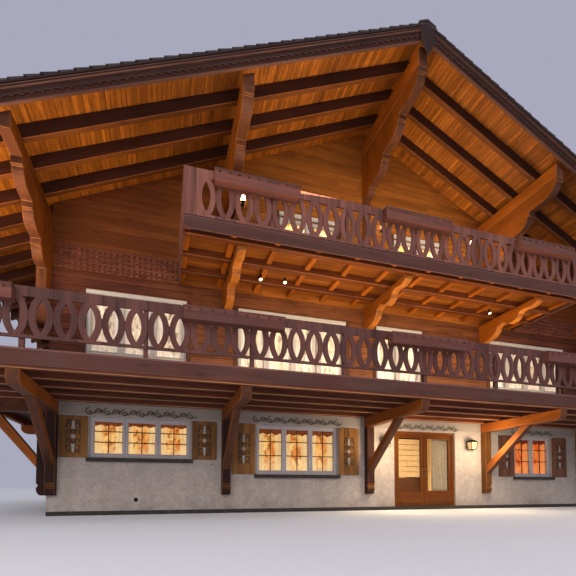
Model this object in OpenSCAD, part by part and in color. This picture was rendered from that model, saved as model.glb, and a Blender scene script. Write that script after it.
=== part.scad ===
// Alpine chalet: a stuccoed masonry ground storey, a timber first storey and a timber
// gable storey under a wide low-pitched roof, with a pierced balcony round three sides,
// a second balcony in the front gable, carved brackets and a glazed double door.
// Millimetres. X runs along the front, Y into the house, Z up; the ridge is above X = 0.

/* [House] */
// Distance between the roof beams, and so between the balcony brackets
bay_w = 4000; // [3600:50:4400]
// Depth of the house, from front wall to back wall
house_d = 13000; // [12000:100:15000]
// Thickness of the masonry walls of the ground storey
masonry_t = 400; // [300:10:500]
// Thickness of the timber walls above
timber_t = 200; // [140:10:260]

/* [Storeys] */
// Thickness of the ground slab
slab_t = 100; // [60:10:150]
// Height of the masonry walls above the slab
masonry_h = 2500; // [2450:10:2800]
// Thickness of the built floors
floor_t = 250; // [220:10:300]
// Clear height of the first storey
first_h = 2800; // [2700:10:3100]
// Height of the low side walls of the gable storey
knee_h = 1000; // [700:10:1200]

/* [Roof] */
// Slope of the roof in degrees
roof_angle = 25; // [20:1:27]
// How far the roof passes the front and back walls
gable_overhang = 2980; // [2980:10:3300]
// How far the roof beams stop behind the bargeboards
purlin_setback = 140; // [100:10:300]
// Play between sloping timbers that lie on one another
slope_play = 0.05; // [0.02:0.01:0.5]
// How far the roof passes the side walls
eaves_overhang = 2200; // [1900:10:2400]
// Thickness of the shingle covering
covering_t = 60; // [40:5:90]
// Thickness of the boards under the shingles
roof_board_t = 30; // [20:5:40]
// Depth of a rafter
rafter_h = 260; // [200:10:300]
// Depth of the outermost rafters, which hang behind the bargeboards
fly_rafter_h = 120; // [80:10:160]
// Width of a rafter
rafter_w = 120; // [80:10:150]
// Widest distance between rafters, from centre to centre
rafter_pitch = 740; // [600:10:900]
// Width of a roof beam
purlin_w = 240; // [200:10:300]
// Height of a roof beam at its centre
purlin_h = 280; // [240:10:340]
// Height of the ridge beam at its centre
ridge_beam_h = 480; // [400:10:560]
// Height of the upper bargeboard
barge_h = 120; // [100:10:160]
// Height of the scalloped lower bargeboard
scallop_board_h = 110; // [90:10:140]
// Thickness of each bargeboard
barge_t = 20; // [16:1:26]
// Width of one scallop
scallop_w = 160; // [130:10:200]
// Width of the pointed plate where the bargeboards meet
apex_w = 360; // [240:10:460]
// Height of the pointed plate
apex_h = 760; // [500:10:900]
// Thickness of the pointed plate
apex_t = 19; // [10:1:20]
// Width of the ridge cap on each side
cap_w = 220; // [150:10:300]
// Height of the ridge cap above the shingles
cap_h = 45; // [30:5:60]

/* [Front windows and door] */
// Space between a shutter and the post beside it, where a window is in the middle of a bay
post_clear = 122; // [115:1:150]
// How far the middle window stands off the middle of its bay
mid_window_shift = -65; // [-100:5:0]
// How far the right window stands off the middle of its bay
right_window_shift = -45; // [-100:5:100]
// Sill height of the ground storey windows
ground_sill_z = 980; // [900:10:1100]
// Sill height of the left window, which is shorter
left_sill_z = 1330; // [1200:10:1400]
// Head height of the ground storey openings
ground_head_z = 2280; // [2200:10:2300]
// How far the front door stands off the middle of its bay
door_shift = -105; // [-150:5:50]
// Width of the front door opening
door_w = 2090; // [1900:10:2200]
// Width of one casement on the first storey
upper_casement_w = 760; // [650:10:800]
// How far the left window of the first storey stands off the middle of its bay
first_left_shift = -130; // [-200:10:0]
// How far the wide window of the first storey stands off the middle of its bay
first_mid_shift = -180; // [-300:10:-50]
// How far the balcony door of the first storey stands off the middle of its bay
first_door_shift = -950; // [-1000:10:-850]
// How far the right window of the first storey stands off the middle of its bay
first_right_shift = -200; // [-300:10:0]
// Height of a low balcony window sill above its floor
low_sill_h = 240; // [150:10:400]
// Height of a normal upper sill above its floor
upper_sill_h = 880; // [800:10:950]
// Height of an upper window head above its floor
upper_head_h = 2320; // [2200:10:2400]
// Distance of each gable door from the middle of the house
gable_door_x = 1750; // [1600:10:1900]
// Width of one leaf of a gable door
gable_leaf_w = 850; // [700:10:900]
// Height of a gable door above its floor
gable_door_h = 2080; // [1950:10:2150]

/* [Side and back windows] */
// Distance between the windows of a side wall
side_window_pitch = 4000; // [3600:50:4200]
// Distance between the windows of the back wall
back_window_pitch = 4800; // [4400:50:5200]

/* [Joinery] */
// Face width of a window or door frame
frame_w = 65; // [50:5:90]
// Depth of a window or door frame
frame_t = 80; // [60:5:100]
// How far the frames lie behind the outer wall face
frame_set = 60; // [30:5:90]
// Thickness of the window glass
glass_t = 12; // [8:1:16]
// Height of a window sill
sill_h = 90; // [60:5:120]
// How far a sill stands out from the wall
sill_out = 90; // [60:5:120]
// How far a sill runs past its window on each side
sill_side = 50; // [30:5:60]
// Width of a shutter
shutter_w = 600; // [500:10:610]
// Thickness of a shutter
shutter_t = 40; // [25:5:50]
// Gap between a window opening and its shutter
shutter_gap = 30; // [10:5:30]
// Width of the stiles of a door leaf
stile_w = 110; // [90:5:130]
// Height of the bottom rail of a door leaf
bottom_rail_h = 420; // [250:10:500]
// Thickness of a door leaf
leaf_t = 55; // [45:1:65]
// Clearance round a door leaf
leaf_gap = 6; // [6:1:8]
// Clearance between the two door leaves
meeting_gap = 14; // [14:1:18]
// Radius of a hinge barrel
barrel_r = 10; // [9:0.5:12]
// Radius of a hinge pin
pin_r = 5; // [4:0.5:6]
// Clearance between a hinge pin and its barrel
pin_gap = 0.4; // [0.3:0.1:0.6]
// Height of one hinge barrel
barrel_h = 55; // [40:5:70]

/* [Lower balcony] */
// Depth of the balcony in front of the house
porch_d = 2760; // [2500:10:2780]
// Depth of the balcony at the sides
side_d = 1800; // [1500:10:1900]
// Play between timbers that butt end to side
butt_gap = 2; // [1:1:5]
// Thickness of the balcony decks
deck_t = 50; // [40:5:60]
// Width of the bracket timbers
bracket_w = 210; // [180:5:215]
// Height of the bracket beams
bracket_beam_h = 270; // [230:10:300]
// Height of the posts' feet above the ground
post_foot_z = 460; // [300:10:600]
// Height at which a knee brace leaves its post
brace_foot_z = 1080; // [950:10:1200]
// How far out a front knee brace meets its beam
brace_reach = 1750; // [1500:10:1900]
// How far out a side knee brace meets its beam
side_brace_reach = 1250; // [1000:10:1350]
// Depth of a knee brace
brace_t = 210; // [160:10:230]
// Width of a joist
joist_w = 120; // [100:10:140]
// Widest distance between the joists of a deck
joist_pitch = 860; // [700:10:950]
// Height of the fascia board
fascia_h = 260; // [220:10:280]
// Thickness of the fascia board
fascia_t = 30; // [25:1:40]

/* [Upper balcony] */
// Width of the balcony in the gable
gallery_w = 10400; // [9600:50:10600]
// Depth of the balcony in the gable
gallery_d = 2420; // [2300:10:2450]
// Height of the long beams
gallery_beam_h = 160; // [140:5:180]
// Height of the joists let in between the long beams
gallery_joist_h = 100; // [80:5:120]
// Width of the long beams
gallery_beam_w = 140; // [120:5:160]
// Widest distance between the joists
gallery_joist_pitch = 1000; // [900:20:1200]
// Distance of the outer long beam from the balcony's edge
gallery_beam_set = 290; // [200:10:340]
// Distance between the long beams
gallery_beam_pitch = 760; // [700:10:840]
// How far the fascia hangs below the long beams
gallery_lip = 30; // [10:5:50]
// Height of a carved console at the wall
console_h = 600; // [540:10:700]
// Width of a carved console
console_w = 200; // [160:10:240]

/* [Railings] */
// Height of the lower railing above its deck
railing_h = 1130; // [1050:10:1200]
// Height of the upper railing above its deck
gallery_railing_h = 1000; // [950:10:1100]
// Open height below the pierced boards of the lower railing
railing_gap_h = 260; // [240:10:300]
// Open height below the pierced boards of the upper railing
gallery_gap_h = 40; // [20:5:60]
// Height of the top rail
top_rail_h = 120; // [90:10:140]
// Width of the top rail
top_rail_w = 110; // [90:5:130]
// Thickness of the pierced boards
pierced_t = 36; // [28:1:45]
// Width of one pierced board
board_w = 370; // [300:5:420]
// Width of the solid board at each end of a railing
end_board_w = 240; // [150:10:300]
// Width and depth of a railing post
rail_post_w = 80; // [70:5:90]
// Widest distance between railing posts
rail_post_pitch = 2000; // [1600:50:2400]
// Length of a flower box on the lower railing
box_l = 1900; // [1600:50:2000]
// Length of a flower box on the upper railing
upper_box_l = 1750; // [1500:50:1900]
// Distance between the middle flower boxes of the lower railing
box_pitch = 4250; // [4000:50:4500]
// Distance between the flower boxes of the upper railing
upper_box_pitch = 3750; // [3400:50:3850]
// Depth of a flower box
box_d = 200; // [160:5:210]
// Height of a flower box
box_h = 250; // [200:10:280]
// Wall thickness of a flower box
box_t = 22; // [16:1:30]

/* [Carved roof brackets] */
// Height of one corbel course of a bracket
corbel_h = 380; // [320:10:440]
// Length of the rounding at the end of a course
corbel_round = 400; // [200:10:480]
// Width of a roof bracket
corbel_w = 220; // [180:10:240]
// Depth of a bracket's foot on the wall
bracket_foot_d = 430; // [300:10:460]
// How far the log ends under a foot stand out from the wall
log_end_d = 100; // [60:10:160]
// How far the topmost course of an eaves bracket stands out
eaves_reach = 2150; // [1900:10:2400]
// How far an eaves bracket runs back along the side wall
eaves_tail = 250; // [200:10:400]
// Height of the eaves brackets' feet above the first storey's floor
eaves_foot_h = 1350; // [1300:10:1600]

/* [Lanterns] */
// Height of a wall lantern
lantern_h = 350; // [300:10:400]
// Width of a wall lantern
lantern_w = 230; // [200:10:260]
// Height of the lanterns' middle above the ground
lantern_z = 1930; // [1850:10:2000]

/* [Hidden] */

eps = 1;
house_w = 4 * bay_w;
wall_x = house_w / 2;
wall_y = house_d / 2;

// Levels
masonry_top = slab_t + masonry_h;
first_z = masonry_top + floor_t;
attic_under = first_z + first_h;
attic_z = attic_under + floor_t;
knee_top = attic_z + knee_h;

// Roof planes, as heights above X = 0 with the slope taken off
slope = tan(roof_angle);
upright = 1 / cos(roof_angle);
eaves_purlin_x = wall_x + timber_t / 2;
eaves_purlin_w = timber_t;
rafter_under = knee_top + slope * wall_x + slope_play;
board_under = rafter_under + rafter_h * upright;
covering_under = board_under + roof_board_t * upright;
ridge_z = covering_under + covering_t * upright;
roof_x = wall_x + eaves_overhang;
roof_y = wall_y + gable_overhang;
barge_back = 2 * barge_t + apex_t + eps;
rafter_end_y = roof_y - barge_back;
gable_rafter_y = wall_y - timber_t / 2;
outer_rafter_y = rafter_end_y - rafter_w / 2;
purlin_end_y = rafter_end_y - purlin_setback;
bearing_z = rafter_under - slope_play;
rafter_top = board_under - slope_play;
barge_top = covering_under - slope_play;

// Lower balcony
beam_z = masonry_top - bracket_beam_h;
joist_h = floor_t - deck_t;
deck_z = first_z;
fascia_rise = 60;
corner_in = bracket_w / 2;
bracket_xs = [-wall_x + corner_in, -bay_w, 0, bay_w, wall_x - corner_in];
side_span = house_d - 2 * corner_in;
side_bays = 3;
side_bracket_ys = [for (i = [0:side_bays]) -side_span / 2 + i * side_span / side_bays];
balcony_x = wall_x + side_d;
beam_setback = 50;

// Upper balcony
gallery_z = attic_z - deck_t;
gallery_joist_z = gallery_z - gallery_joist_h;
gallery_beam_z = gallery_z - gallery_beam_h;
gallery_beam_ds = [for (i = [0:2]) gallery_d - gallery_beam_set - i * gallery_beam_pitch];
console_xs = [-bay_w, 0, bay_w];

// Openings: centre, casements, sill height, head height, casement width. The three
// casements of a ground storey window fit between its shutters and the posts.
bay_xs = [-1.5 * bay_w, -0.5 * bay_w, 0.5 * bay_w, 1.5 * bay_w];
casement_w = (bay_w - bracket_w - 2 * (shutter_w + shutter_gap + post_clear)) / 3;
door_x = bay_xs[2] + door_shift;
front_ground = [
    [bay_xs[0], 3, left_sill_z, ground_head_z, casement_w],
    [bay_xs[1] + mid_window_shift, 3, ground_sill_z, ground_head_z, casement_w],
    [bay_xs[3] + right_window_shift, 2, ground_sill_z, ground_head_z, casement_w]
];
first_sill_z = first_z + upper_sill_h;
first_head_z = first_z + upper_head_h;
front_first = [
    [bay_xs[0] + first_left_shift, 3, first_sill_z, first_head_z, upper_casement_w],
    [bay_xs[1] + first_mid_shift, 4, first_z + low_sill_h, first_head_z, upper_casement_w],
    [bay_xs[2] + first_door_shift, 2, first_z, first_head_z, upper_casement_w],
    [bay_xs[3] + first_right_shift, 4, first_sill_z, first_head_z, upper_casement_w]
];
front_gable = [
    for (side = [-1, 1])
        [side * gable_door_x, 2, attic_z, attic_z + gable_door_h, gable_leaf_w]
];
back_gable = [
    for (side = [-1, 1])
        [side * gable_door_x, 2, attic_z + upper_sill_h, attic_z + gable_door_h, upper_casement_w]
];
function row(pitch, sill, head, leaf) =
    [for (i = [-1:1]) [i * pitch, 2, sill, head, leaf]];
side_ground = row(side_window_pitch, ground_sill_z, ground_head_z, casement_w);
side_first = row(side_window_pitch, first_sill_z, first_head_z, upper_casement_w);
back_ground = row(back_window_pitch, ground_sill_z, ground_head_z, casement_w);
back_first = row(back_window_pitch, first_sill_z, first_head_z, upper_casement_w);

// Door
door_left = door_x - door_w / 2;
door_right = door_x + door_w / 2;
leaf_y = -wall_y + frame_set + frame_t - leaf_t;
leaf_w = (door_w - 2 * frame_w - 2 * leaf_gap - meeting_gap) / 2;
leaf_z = slab_t + leaf_gap + butt_gap;
leaf_h = ground_head_z - frame_w - leaf_gap - leaf_z;
hinge_y = leaf_y + leaf_t + barrel_r + eps;
hinge_left_x = door_left + frame_w;
hinge_right_x = door_right - frame_w;
hinge_in = 200;
hinge_zs = [leaf_z + hinge_in, leaf_z + leaf_h / 2 - barrel_h, leaf_z + leaf_h - hinge_in - 2 * barrel_h];
hinge_plate_in = 3;
hinge_plate_l = 30;
hinge_plate_t = 6;
hinge_play = 4;

function opening_w(hole) = hole[1] * hole[4];

// Places its children on a wall: x to the right seen from outside, y = 0 on the outer
// face and growing inward.
module facing(side) {
    turn = side == "front" ? 0 : side == "right" ? 90 : side == "back" ? 180 : 270;
    reach = side == "front" || side == "back" ? wall_y : wall_x;
    rotate([0, 0, turn]) translate([0, -reach, 0]) children();
}

module block(x0, x1, y0, y1, z0, z1) {
    translate([x0, y0, z0]) cube([x1 - x0, y1 - y0, z1 - z0]);
}

module holes(openings, thick) {
    for (hole = openings)
        block(hole[0] - opening_w(hole) / 2, hole[0] + opening_w(hole) / 2,
            -eps, thick + eps, hole[2], hole[3]);
}

module pierced_wall(x0, x1, thick, z0, z1, openings) {
    difference() {
        block(x0, x1, 0, thick, z0, z1);
        holes(openings, thick);
    }
}

// Draws a profile given in x (outward from the wall) and z, with its width along the wall
module outward(width) {
    rotate([90, 0, -90]) translate([0, 0, -width / 2]) linear_extrude(width) children();
}

module ground_slab() {
    color("gray") block(-wall_x, wall_x, -wall_y, wall_y, 0, slab_t);
}

module ground_wall_front_left() {
    color("gainsboro") facing("front")
        pierced_wall(-wall_x, door_left, masonry_t, slab_t, masonry_top,
            [front_ground[0], front_ground[1]]);
}

module ground_wall_front_right() {
    color("gainsboro") facing("front")
        pierced_wall(door_right, wall_x, masonry_t, slab_t, masonry_top, [front_ground[2]]);
}

module door_lintel_wall() {
    color("gainsboro") facing("front")
        block(door_left, door_right, 0, masonry_t, ground_head_z, masonry_top);
}

module ground_side_wall(side) {
    color("gainsboro") facing(side)
        pierced_wall(-wall_y + masonry_t, wall_y - masonry_t, masonry_t,
            slab_t, masonry_top, side_ground);
}

module ground_wall_back() {
    color("gainsboro") facing("back")
        pierced_wall(-wall_x, wall_x, masonry_t, slab_t, masonry_top, back_ground);
}

module first_floor() {
    color("peru") block(-wall_x, wall_x, -wall_y, wall_y, masonry_top, first_z);
}

module timber_wall(side, openings) {
    long = side == "front" || side == "back";
    reach = long ? wall_x : wall_y - timber_t;
    color("saddlebrown") facing(side)
        pierced_wall(-reach, reach, timber_t, first_z, attic_under, openings);
}

module attic_floor() {
    color("peru") block(-wall_x, wall_x, -wall_y, wall_y, attic_under, attic_z);
}

function roof_line(level, x) = level - slope * abs(x);

// The eaves beams lie against the side walls, and the others in the gable walls
wall_beam_xs = [-bay_w, 0, bay_w];

function beam_height(x) = x == 0 ? ridge_beam_h : purlin_h;
function beam_under(x) = roof_line(rafter_under, x) - beam_height(x);

// A gable wall notched from above for the roof beams
module gable_wall(side, openings) {
    color("chocolate") facing(side) difference() {
        translate([0, timber_t, 0]) rotate([90, 0, 0]) linear_extrude(timber_t) difference() {
            polygon([
                [-wall_x, attic_z], [wall_x, attic_z], [wall_x, roof_line(bearing_z, wall_x)],
                [0, bearing_z], [-wall_x, roof_line(bearing_z, wall_x)]
            ]);
            for (x = wall_beam_xs)
                translate([x - purlin_w / 2, beam_under(x)]) square([purlin_w, 2 * beam_height(x)]);
        }
        holes(openings, timber_t);
    }
}

// The low side walls, cut off under the rafters
module knee_walls() {
    color("saddlebrown") for (side = ["left", "right"])
        facing(side) outward(2 * (wall_y - timber_t)) polygon([
            [-timber_t, attic_z], [0, attic_z], [0, knee_top], [-timber_t, knee_top + slope * timber_t]
        ]);
}

// A roof beam whose top lies in the plane under the rafters
module purlin(x, width) {
    x0 = x - width / 2;
    x1 = x + width / 2;
    top = [[x1, roof_line(bearing_z, x1)], [x0, roof_line(bearing_z, x0)]];
    peak = [top[0], [0, bearing_z], top[1]];
    translate([0, purlin_end_y, 0]) rotate([90, 0, 0]) linear_extrude(2 * purlin_end_y)
        polygon(concat([[x0, beam_under(x)], [x1, beam_under(x)]], x == 0 ? peak : top));
}

module purlins() {
    color("sienna") {
        for (x = wall_beam_xs) purlin(x, purlin_w);
        for (side = [-1, 1]) purlin(side * eaves_purlin_x, eaves_purlin_w);
    }
}

// A sloping layer of one roof side between two planes, drawn along Y
module roof_layer(side, low, high, x_end, y0, y1) {
    translate([0, y1, 0]) rotate([90, 0, 0]) linear_extrude(y1 - y0)
        polygon([
            [0, low], [side * x_end, roof_line(low, x_end)],
            [side * x_end, roof_line(high, x_end)], [0, high]
        ]);
}

inner_rafters = ceil(2 * gable_rafter_y / rafter_pitch);
outer_rafters = ceil((outer_rafter_y - gable_rafter_y) / rafter_pitch);
rafter_ys = concat(
    [for (i = [0:inner_rafters]) -gable_rafter_y + i * 2 * gable_rafter_y / inner_rafters],
    [
        for (i = [1:outer_rafters], side = [-1, 1])
            side * (gable_rafter_y + i * (outer_rafter_y - gable_rafter_y) / outer_rafters)
    ]
);

module rafters(side) {
    fly_under = board_under - fly_rafter_h * upright;
    color("sienna") for (y = rafter_ys)
        roof_layer(side, abs(y) > purlin_end_y ? fly_under : rafter_under, rafter_top,
            roof_x - 2 * roof_board_t, y - rafter_w / 2, y + rafter_w / 2);
}

module roof_boards(side) {
    color("goldenrod")
        roof_layer(side, board_under, barge_top, roof_x - roof_board_t, -rafter_end_y, rafter_end_y);
}

module roof_covering(side) {
    color("dimgray") roof_layer(side, covering_under, ridge_z, roof_x, -roof_y, roof_y);
}

module ridge_cap() {
    low = ridge_z + slope_play;
    high = ridge_z + cap_h;
    color("slategray") translate([0, roof_y, 0]) rotate([90, 0, 0]) linear_extrude(2 * roof_y)
        polygon([
            [0, low], [cap_w, roof_line(low, cap_w)], [cap_w, roof_line(high, cap_w)],
            [0, high], [-cap_w, roof_line(high, cap_w)], [-cap_w, roof_line(low, cap_w)]
        ]);
}

// The two stepped bargeboards of one roof side: the lower one has a scalloped edge
module bargeboard_pair(side) {
    rake_l = (roof_x - roof_board_t) * upright;
    scallops = floor(rake_l / scallop_w);
    step = rake_l / scallops;
    lower_under = barge_top - (barge_h + scallop_board_h) * upright;
    upper_under = barge_top - barge_h * upright;
    notch_r = scallop_w / 2;
    notch_drop = 0.6 * notch_r;
    union() {
        roof_layer(side, upper_under, barge_top, roof_x - roof_board_t, barge_t, 2 * barge_t);
        difference() {
            roof_layer(side, lower_under, barge_top, roof_x - roof_board_t, 0, barge_t);
            for (i = [1:scallops - 1])
                translate([side * i * step / upright, -eps,
                    roof_line(lower_under, i * step / upright) - notch_drop])
                    rotate([-90, 0, 0]) cylinder(r = notch_r, h = barge_t + 2 * eps, $fn = 24);
        }
    }
}

module bargeboards(side) {
    color("rosybrown") for (turn = [0, 1])
        mirror([0, turn, 0]) translate([0, rafter_end_y, 0]) bargeboard_pair(side);
}

module apex_plates() {
    shoulder_z = barge_top - 0.55 * apex_h;
    half_w = apex_w / 2;
    color("tan") for (turn = [0, 1])
        mirror([0, turn, 0]) translate([0, rafter_end_y + 2 * barge_t + apex_t, 0])
            rotate([90, 0, 0]) linear_extrude(apex_t)
                polygon([
                    [0, barge_top], [half_w, roof_line(barge_top, half_w)], [half_w, shoulder_z],
                    [0, barge_top - apex_h], [-half_w, shoulder_z], [-half_w, roof_line(barge_top, half_w)]
                ]);
}

arc_steps = 6;

// Points of a rounded corner that starts upright and ends level, bulging outward
function ovolo(from, to) = [
    for (i = [0:arc_steps])
        let (t = 90 * i / arc_steps)
        [to[0] + (from[0] - to[0]) * cos(t), from[1] - (from[1] - to[1]) * sin(t)]
];

// Points of a hollow that starts level and ends upright
function cove(from, to) = [
    for (i = [0:arc_steps])
        let (t = 90 * i / arc_steps)
        [from[0] - (from[0] - to[0]) * sin(t), to[1] + (from[1] - to[1]) * cos(t)]
];

// How far each corbel course of a roof bracket stands out, as a share of the topmost one
corbel_shares = [1, 0.7, 0.42];
corbel_lip = 0.35 * corbel_h;
corbel_nick = 60;
foot_round = 150;

function corbel_nose(reach, top_z) = concat(
    [[reach, top_z], [reach, top_z - corbel_lip]],
    ovolo([reach - corbel_nick, top_z - corbel_lip], [reach - corbel_round, top_z - corbel_h])
);

// A carved bracket: corbel courses with rounded ends over a foot, and log ends below it.
// It starts behind the wall's face by its tail.
module corbel_profile(reach, top_z, foot_z, low_z, tail) {
    polygon(concat(
        [[-tail, low_z], [-tail, top_z]],
        [
            for (i = [0:len(corbel_shares) - 1])
                each corbel_nose(corbel_shares[i] * reach, top_z - i * corbel_h)
        ],
        [[bracket_foot_d, top_z - len(corbel_shares) * corbel_h]],
        ovolo([bracket_foot_d, foot_z + foot_round], [bracket_foot_d - foot_round, foot_z]),
        [[log_end_d, foot_z], [log_end_d, low_z]]
    ));
}

module bracket_pair(x, width, reach, foot_z, low_z, tail) {
    color("sienna") for (side = ["front", "back"])
        facing(side) translate([x, 0, 0]) outward(width)
            corbel_profile(reach, beam_under(x), foot_z, low_z, tail);
}

module gable_bracket(x) {
    foot_z = beam_under(x) - len(corbel_shares) * corbel_h - foot_round;
    bracket_pair(x, corbel_w, purlin_end_y - wall_y, foot_z, attic_z, 0);
}

module ridge_brackets() {
    gable_bracket(0);
}

module mid_brackets() {
    for (side = [-1, 1]) gable_bracket(side * bay_w);
}

// Their log ends stop above the end railings of the lower balcony
module eaves_brackets() {
    for (side = [-1, 1])
        bracket_pair(side * eaves_purlin_x, timber_t, eaves_reach, first_z + eaves_foot_h,
            deck_z + railing_h + butt_gap, eaves_tail);
}

// Runs its children at every bracket of the lower balcony; $reach is how far it stands out
module at_brackets() {
    for (x = bracket_xs) facing("front") translate([x, 0, 0]) {
        $reach = porch_d - beam_setback;
        $brace = brace_reach;
        children();
    }
    for (y = side_bracket_ys) {
        $reach = side_d - beam_setback;
        $brace = side_brace_reach;
        facing("right") translate([y, 0, 0]) children();
        facing("left") translate([-y, 0, 0]) children();
    }
}

// The posts end in a rounded pendant under a groove
pendant_h = 170;
groove_h = 35;

module balcony_posts() {
    ball_z = post_foot_z + pendant_h;
    color("sienna") at_brackets()
        outward(bracket_w) polygon(concat(
            [
                [0, post_foot_z], [0, beam_z], [bracket_w, beam_z], [bracket_w, ball_z + 3 * groove_h],
                [bracket_w - groove_h, ball_z + 2 * groove_h], [bracket_w - groove_h, ball_z + groove_h]
            ],
            ovolo([bracket_w, ball_z], [bracket_w / 2, post_foot_z])
        ));
}

module balcony_beams() {
    beam_round = 0.6 * bracket_beam_h;
    color("sienna") at_brackets()
        outward(bracket_w) polygon(concat(
            [[0, beam_z], [0, masonry_top], [$reach, masonry_top]],
            ovolo([$reach, beam_z + beam_round], [$reach - beam_round, beam_z])
        ));
}

// A sloping brace cut flat on its post and under its beam
module balcony_braces() {
    cut_l = 1.25 * brace_t;
    color("sienna") at_brackets()
        outward(0.8 * bracket_w) polygon([
            [bracket_w, brace_foot_z], [bracket_w, brace_foot_z + cut_l],
            [$brace - cut_l, beam_z], [$brace, beam_z]
        ]);
}

front_joists = ceil((porch_d - fascia_t - joist_w) / joist_pitch);
front_joist_step = (porch_d - fascia_t - joist_w) / front_joists;
side_joists = ceil((side_d - fascia_t - joist_w) / joist_pitch);
side_joist_step = (side_d - fascia_t - joist_w) / side_joists;

module lower_joists() {
    color("sienna") {
        for (i = [0:front_joists])
            facing("front")
                block(-balcony_x + fascia_t, balcony_x - fascia_t, -i * front_joist_step - joist_w,
                    -i * front_joist_step, masonry_top, masonry_top + joist_h);
        for (side = ["left", "right"], i = [0:side_joists])
            facing(side)
                block(-wall_y + butt_gap, wall_y - butt_gap, -i * side_joist_step - joist_w,
                    -i * side_joist_step, masonry_top, masonry_top + joist_h);
    }
}

module lower_deck_front() {
    color("burlywood")
        facing("front") block(-balcony_x + fascia_t, balcony_x - fascia_t, -porch_d + fascia_t, 0,
            deck_z - deck_t, deck_z);
}

module lower_decks_side() {
    color("burlywood") for (side = ["left", "right"])
        facing(side) block(-wall_y, wall_y, -side_d + fascia_t, 0, deck_z - deck_t, deck_z);
}

module lower_fascia() {
    top = deck_z + fascia_rise;
    color("rosybrown") difference() {
        block(-balcony_x, balcony_x, -wall_y - porch_d, wall_y, top - fascia_h, top);
        block(-balcony_x + fascia_t, balcony_x - fascia_t, -wall_y - porch_d + fascia_t, wall_y + eps,
            top - fascia_h - eps, top + eps);
    }
}

// The opening of one pierced board: a pointed oval
module board_eye(height) {
    half_w = 0.22 * board_w;
    half_h = 0.36 * height;
    r = (half_w * half_w + half_h * half_h) / (2 * half_w);
    intersection() {
        translate([r - half_w, 0]) circle(r = r, $fn = 64);
        translate([half_w - r, 0]) circle(r = r, $fn = 64);
    }
}

// The opening between two boards, above and below the place where they touch
module board_flare(pitch, height) {
    half_w = pitch / 2;
    half_h = 0.56 * height;
    r = (half_w * half_w + half_h * half_h) / (2 * half_w);
    touch = 0.11 * height;
    edge = 0.07 * height;
    for (up = [-1, 1])
        difference() {
            translate([-half_w, up > 0 ? touch : -height / 2 + edge])
                square([pitch, height / 2 - edge - touch]);
            translate([-r, 0]) circle(r = r, $fn = 64);
            translate([r, 0]) circle(r = r, $fn = 64);
        }
}

// A panel of pierced boards, standing in x and z from the origin, face on y = 0
module pierced_panel(length, height) {
    run = length - 2 * end_board_w;
    boards = max(1, floor(run / board_w));
    pitch = run / boards;
    translate([0, pierced_t, 0]) rotate([90, 0, 0]) linear_extrude(pierced_t) difference() {
        square([length, height]);
        for (i = [0:boards - 1])
            translate([end_board_w + (i + 0.5) * pitch, height / 2]) board_eye(height);
        for (i = [1:boards - 1])
            translate([end_board_w + i * pitch, height / 2]) board_flare(pitch, height);
    }
}

// A railing standing on z = 0 with its outer face on y = 0
module railing(length, height, gap_h) {
    post_run = length - 2 * fascia_t - rail_post_w;
    posts = ceil(post_run / rail_post_pitch);
    rail_z = height - top_rail_h;
    union() {
        translate([0, 0, gap_h]) pierced_panel(length, rail_z - gap_h);
        block(0, length, 0, top_rail_w, rail_z, height);
        for (i = [0:posts])
            translate([fascia_t + i * post_run / posts, pierced_t, 0])
                cube([rail_post_w, rail_post_w, rail_z]);
    }
}

module lower_railing(length) {
    railing(length, railing_h, railing_gap_h);
}

module gallery_railing(length) {
    railing(length, gallery_railing_h, gallery_gap_h);
}

module lower_railing_front() {
    color("rosybrown") facing("front")
        translate([-balcony_x, -porch_d + fascia_t, deck_z]) lower_railing(2 * balcony_x);
}

rail_depth = max(top_rail_w, pierced_t + rail_post_w);
side_rail_start = wall_y + porch_d - fascia_t - rail_depth;

module lower_railings_side() {
    length = side_rail_start + wall_y;
    color("rosybrown") {
        facing("left") translate([-wall_y, -side_d + fascia_t, deck_z]) lower_railing(length);
        facing("right") translate([-side_rail_start, -side_d + fascia_t, deck_z]) lower_railing(length);
    }
}

module lower_railing_ends() {
    length = side_d - fascia_t - rail_depth;
    color("rosybrown") facing("back") for (x = [-wall_x - length, wall_x])
        translate([x, 0, deck_z]) lower_railing(length);
}

// A console whose underside has a nose, a belly and a heel with hollows between them: each
// corner is a share of its reach and a share of its height
module console_profile() {
    function at(out, down) = [out * gallery_beam_ds[0], gallery_beam_z - down * console_h];
    polygon(concat(
        [at(0, 0), at(1, 0)],
        ovolo(at(1, 0.1), at(0.87, 0.3)),
        cove(at(0.8, 0.24), at(0.7, 0.4)),
        ovolo(at(0.7, 0.42), at(0.54, 0.6)),
        cove(at(0.46, 0.42), at(0.34, 0.56)),
        ovolo(at(0.34, 0.6), at(0.06, 1)),
        [at(0, 1)]
    ));
}

module upper_consoles() {
    color("sienna") for (x = console_xs)
        facing("front") translate([x, 0, 0]) outward(console_w) console_profile();
}

module upper_beams() {
    half_l = gallery_w / 2 - fascia_t;
    color("sienna") facing("front") for (d = gallery_beam_ds)
        block(-half_l, half_l, -d - gallery_beam_w / 2, -d + gallery_beam_w / 2,
            gallery_beam_z, gallery_z);
}

gallery_joists = ceil((gallery_w - joist_w - 2 * fascia_t) / gallery_joist_pitch);
gallery_joist_step = (gallery_w - joist_w - 2 * fascia_t) / gallery_joists;

// Outer and inner end of each short joist: from the fascia in, beam by beam, to the wall
gallery_joist_outs = concat([gallery_d - fascia_t], [for (d = gallery_beam_ds) d - gallery_beam_w / 2]);
gallery_joist_ins = concat([for (d = gallery_beam_ds) d + gallery_beam_w / 2], [0]);

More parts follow.
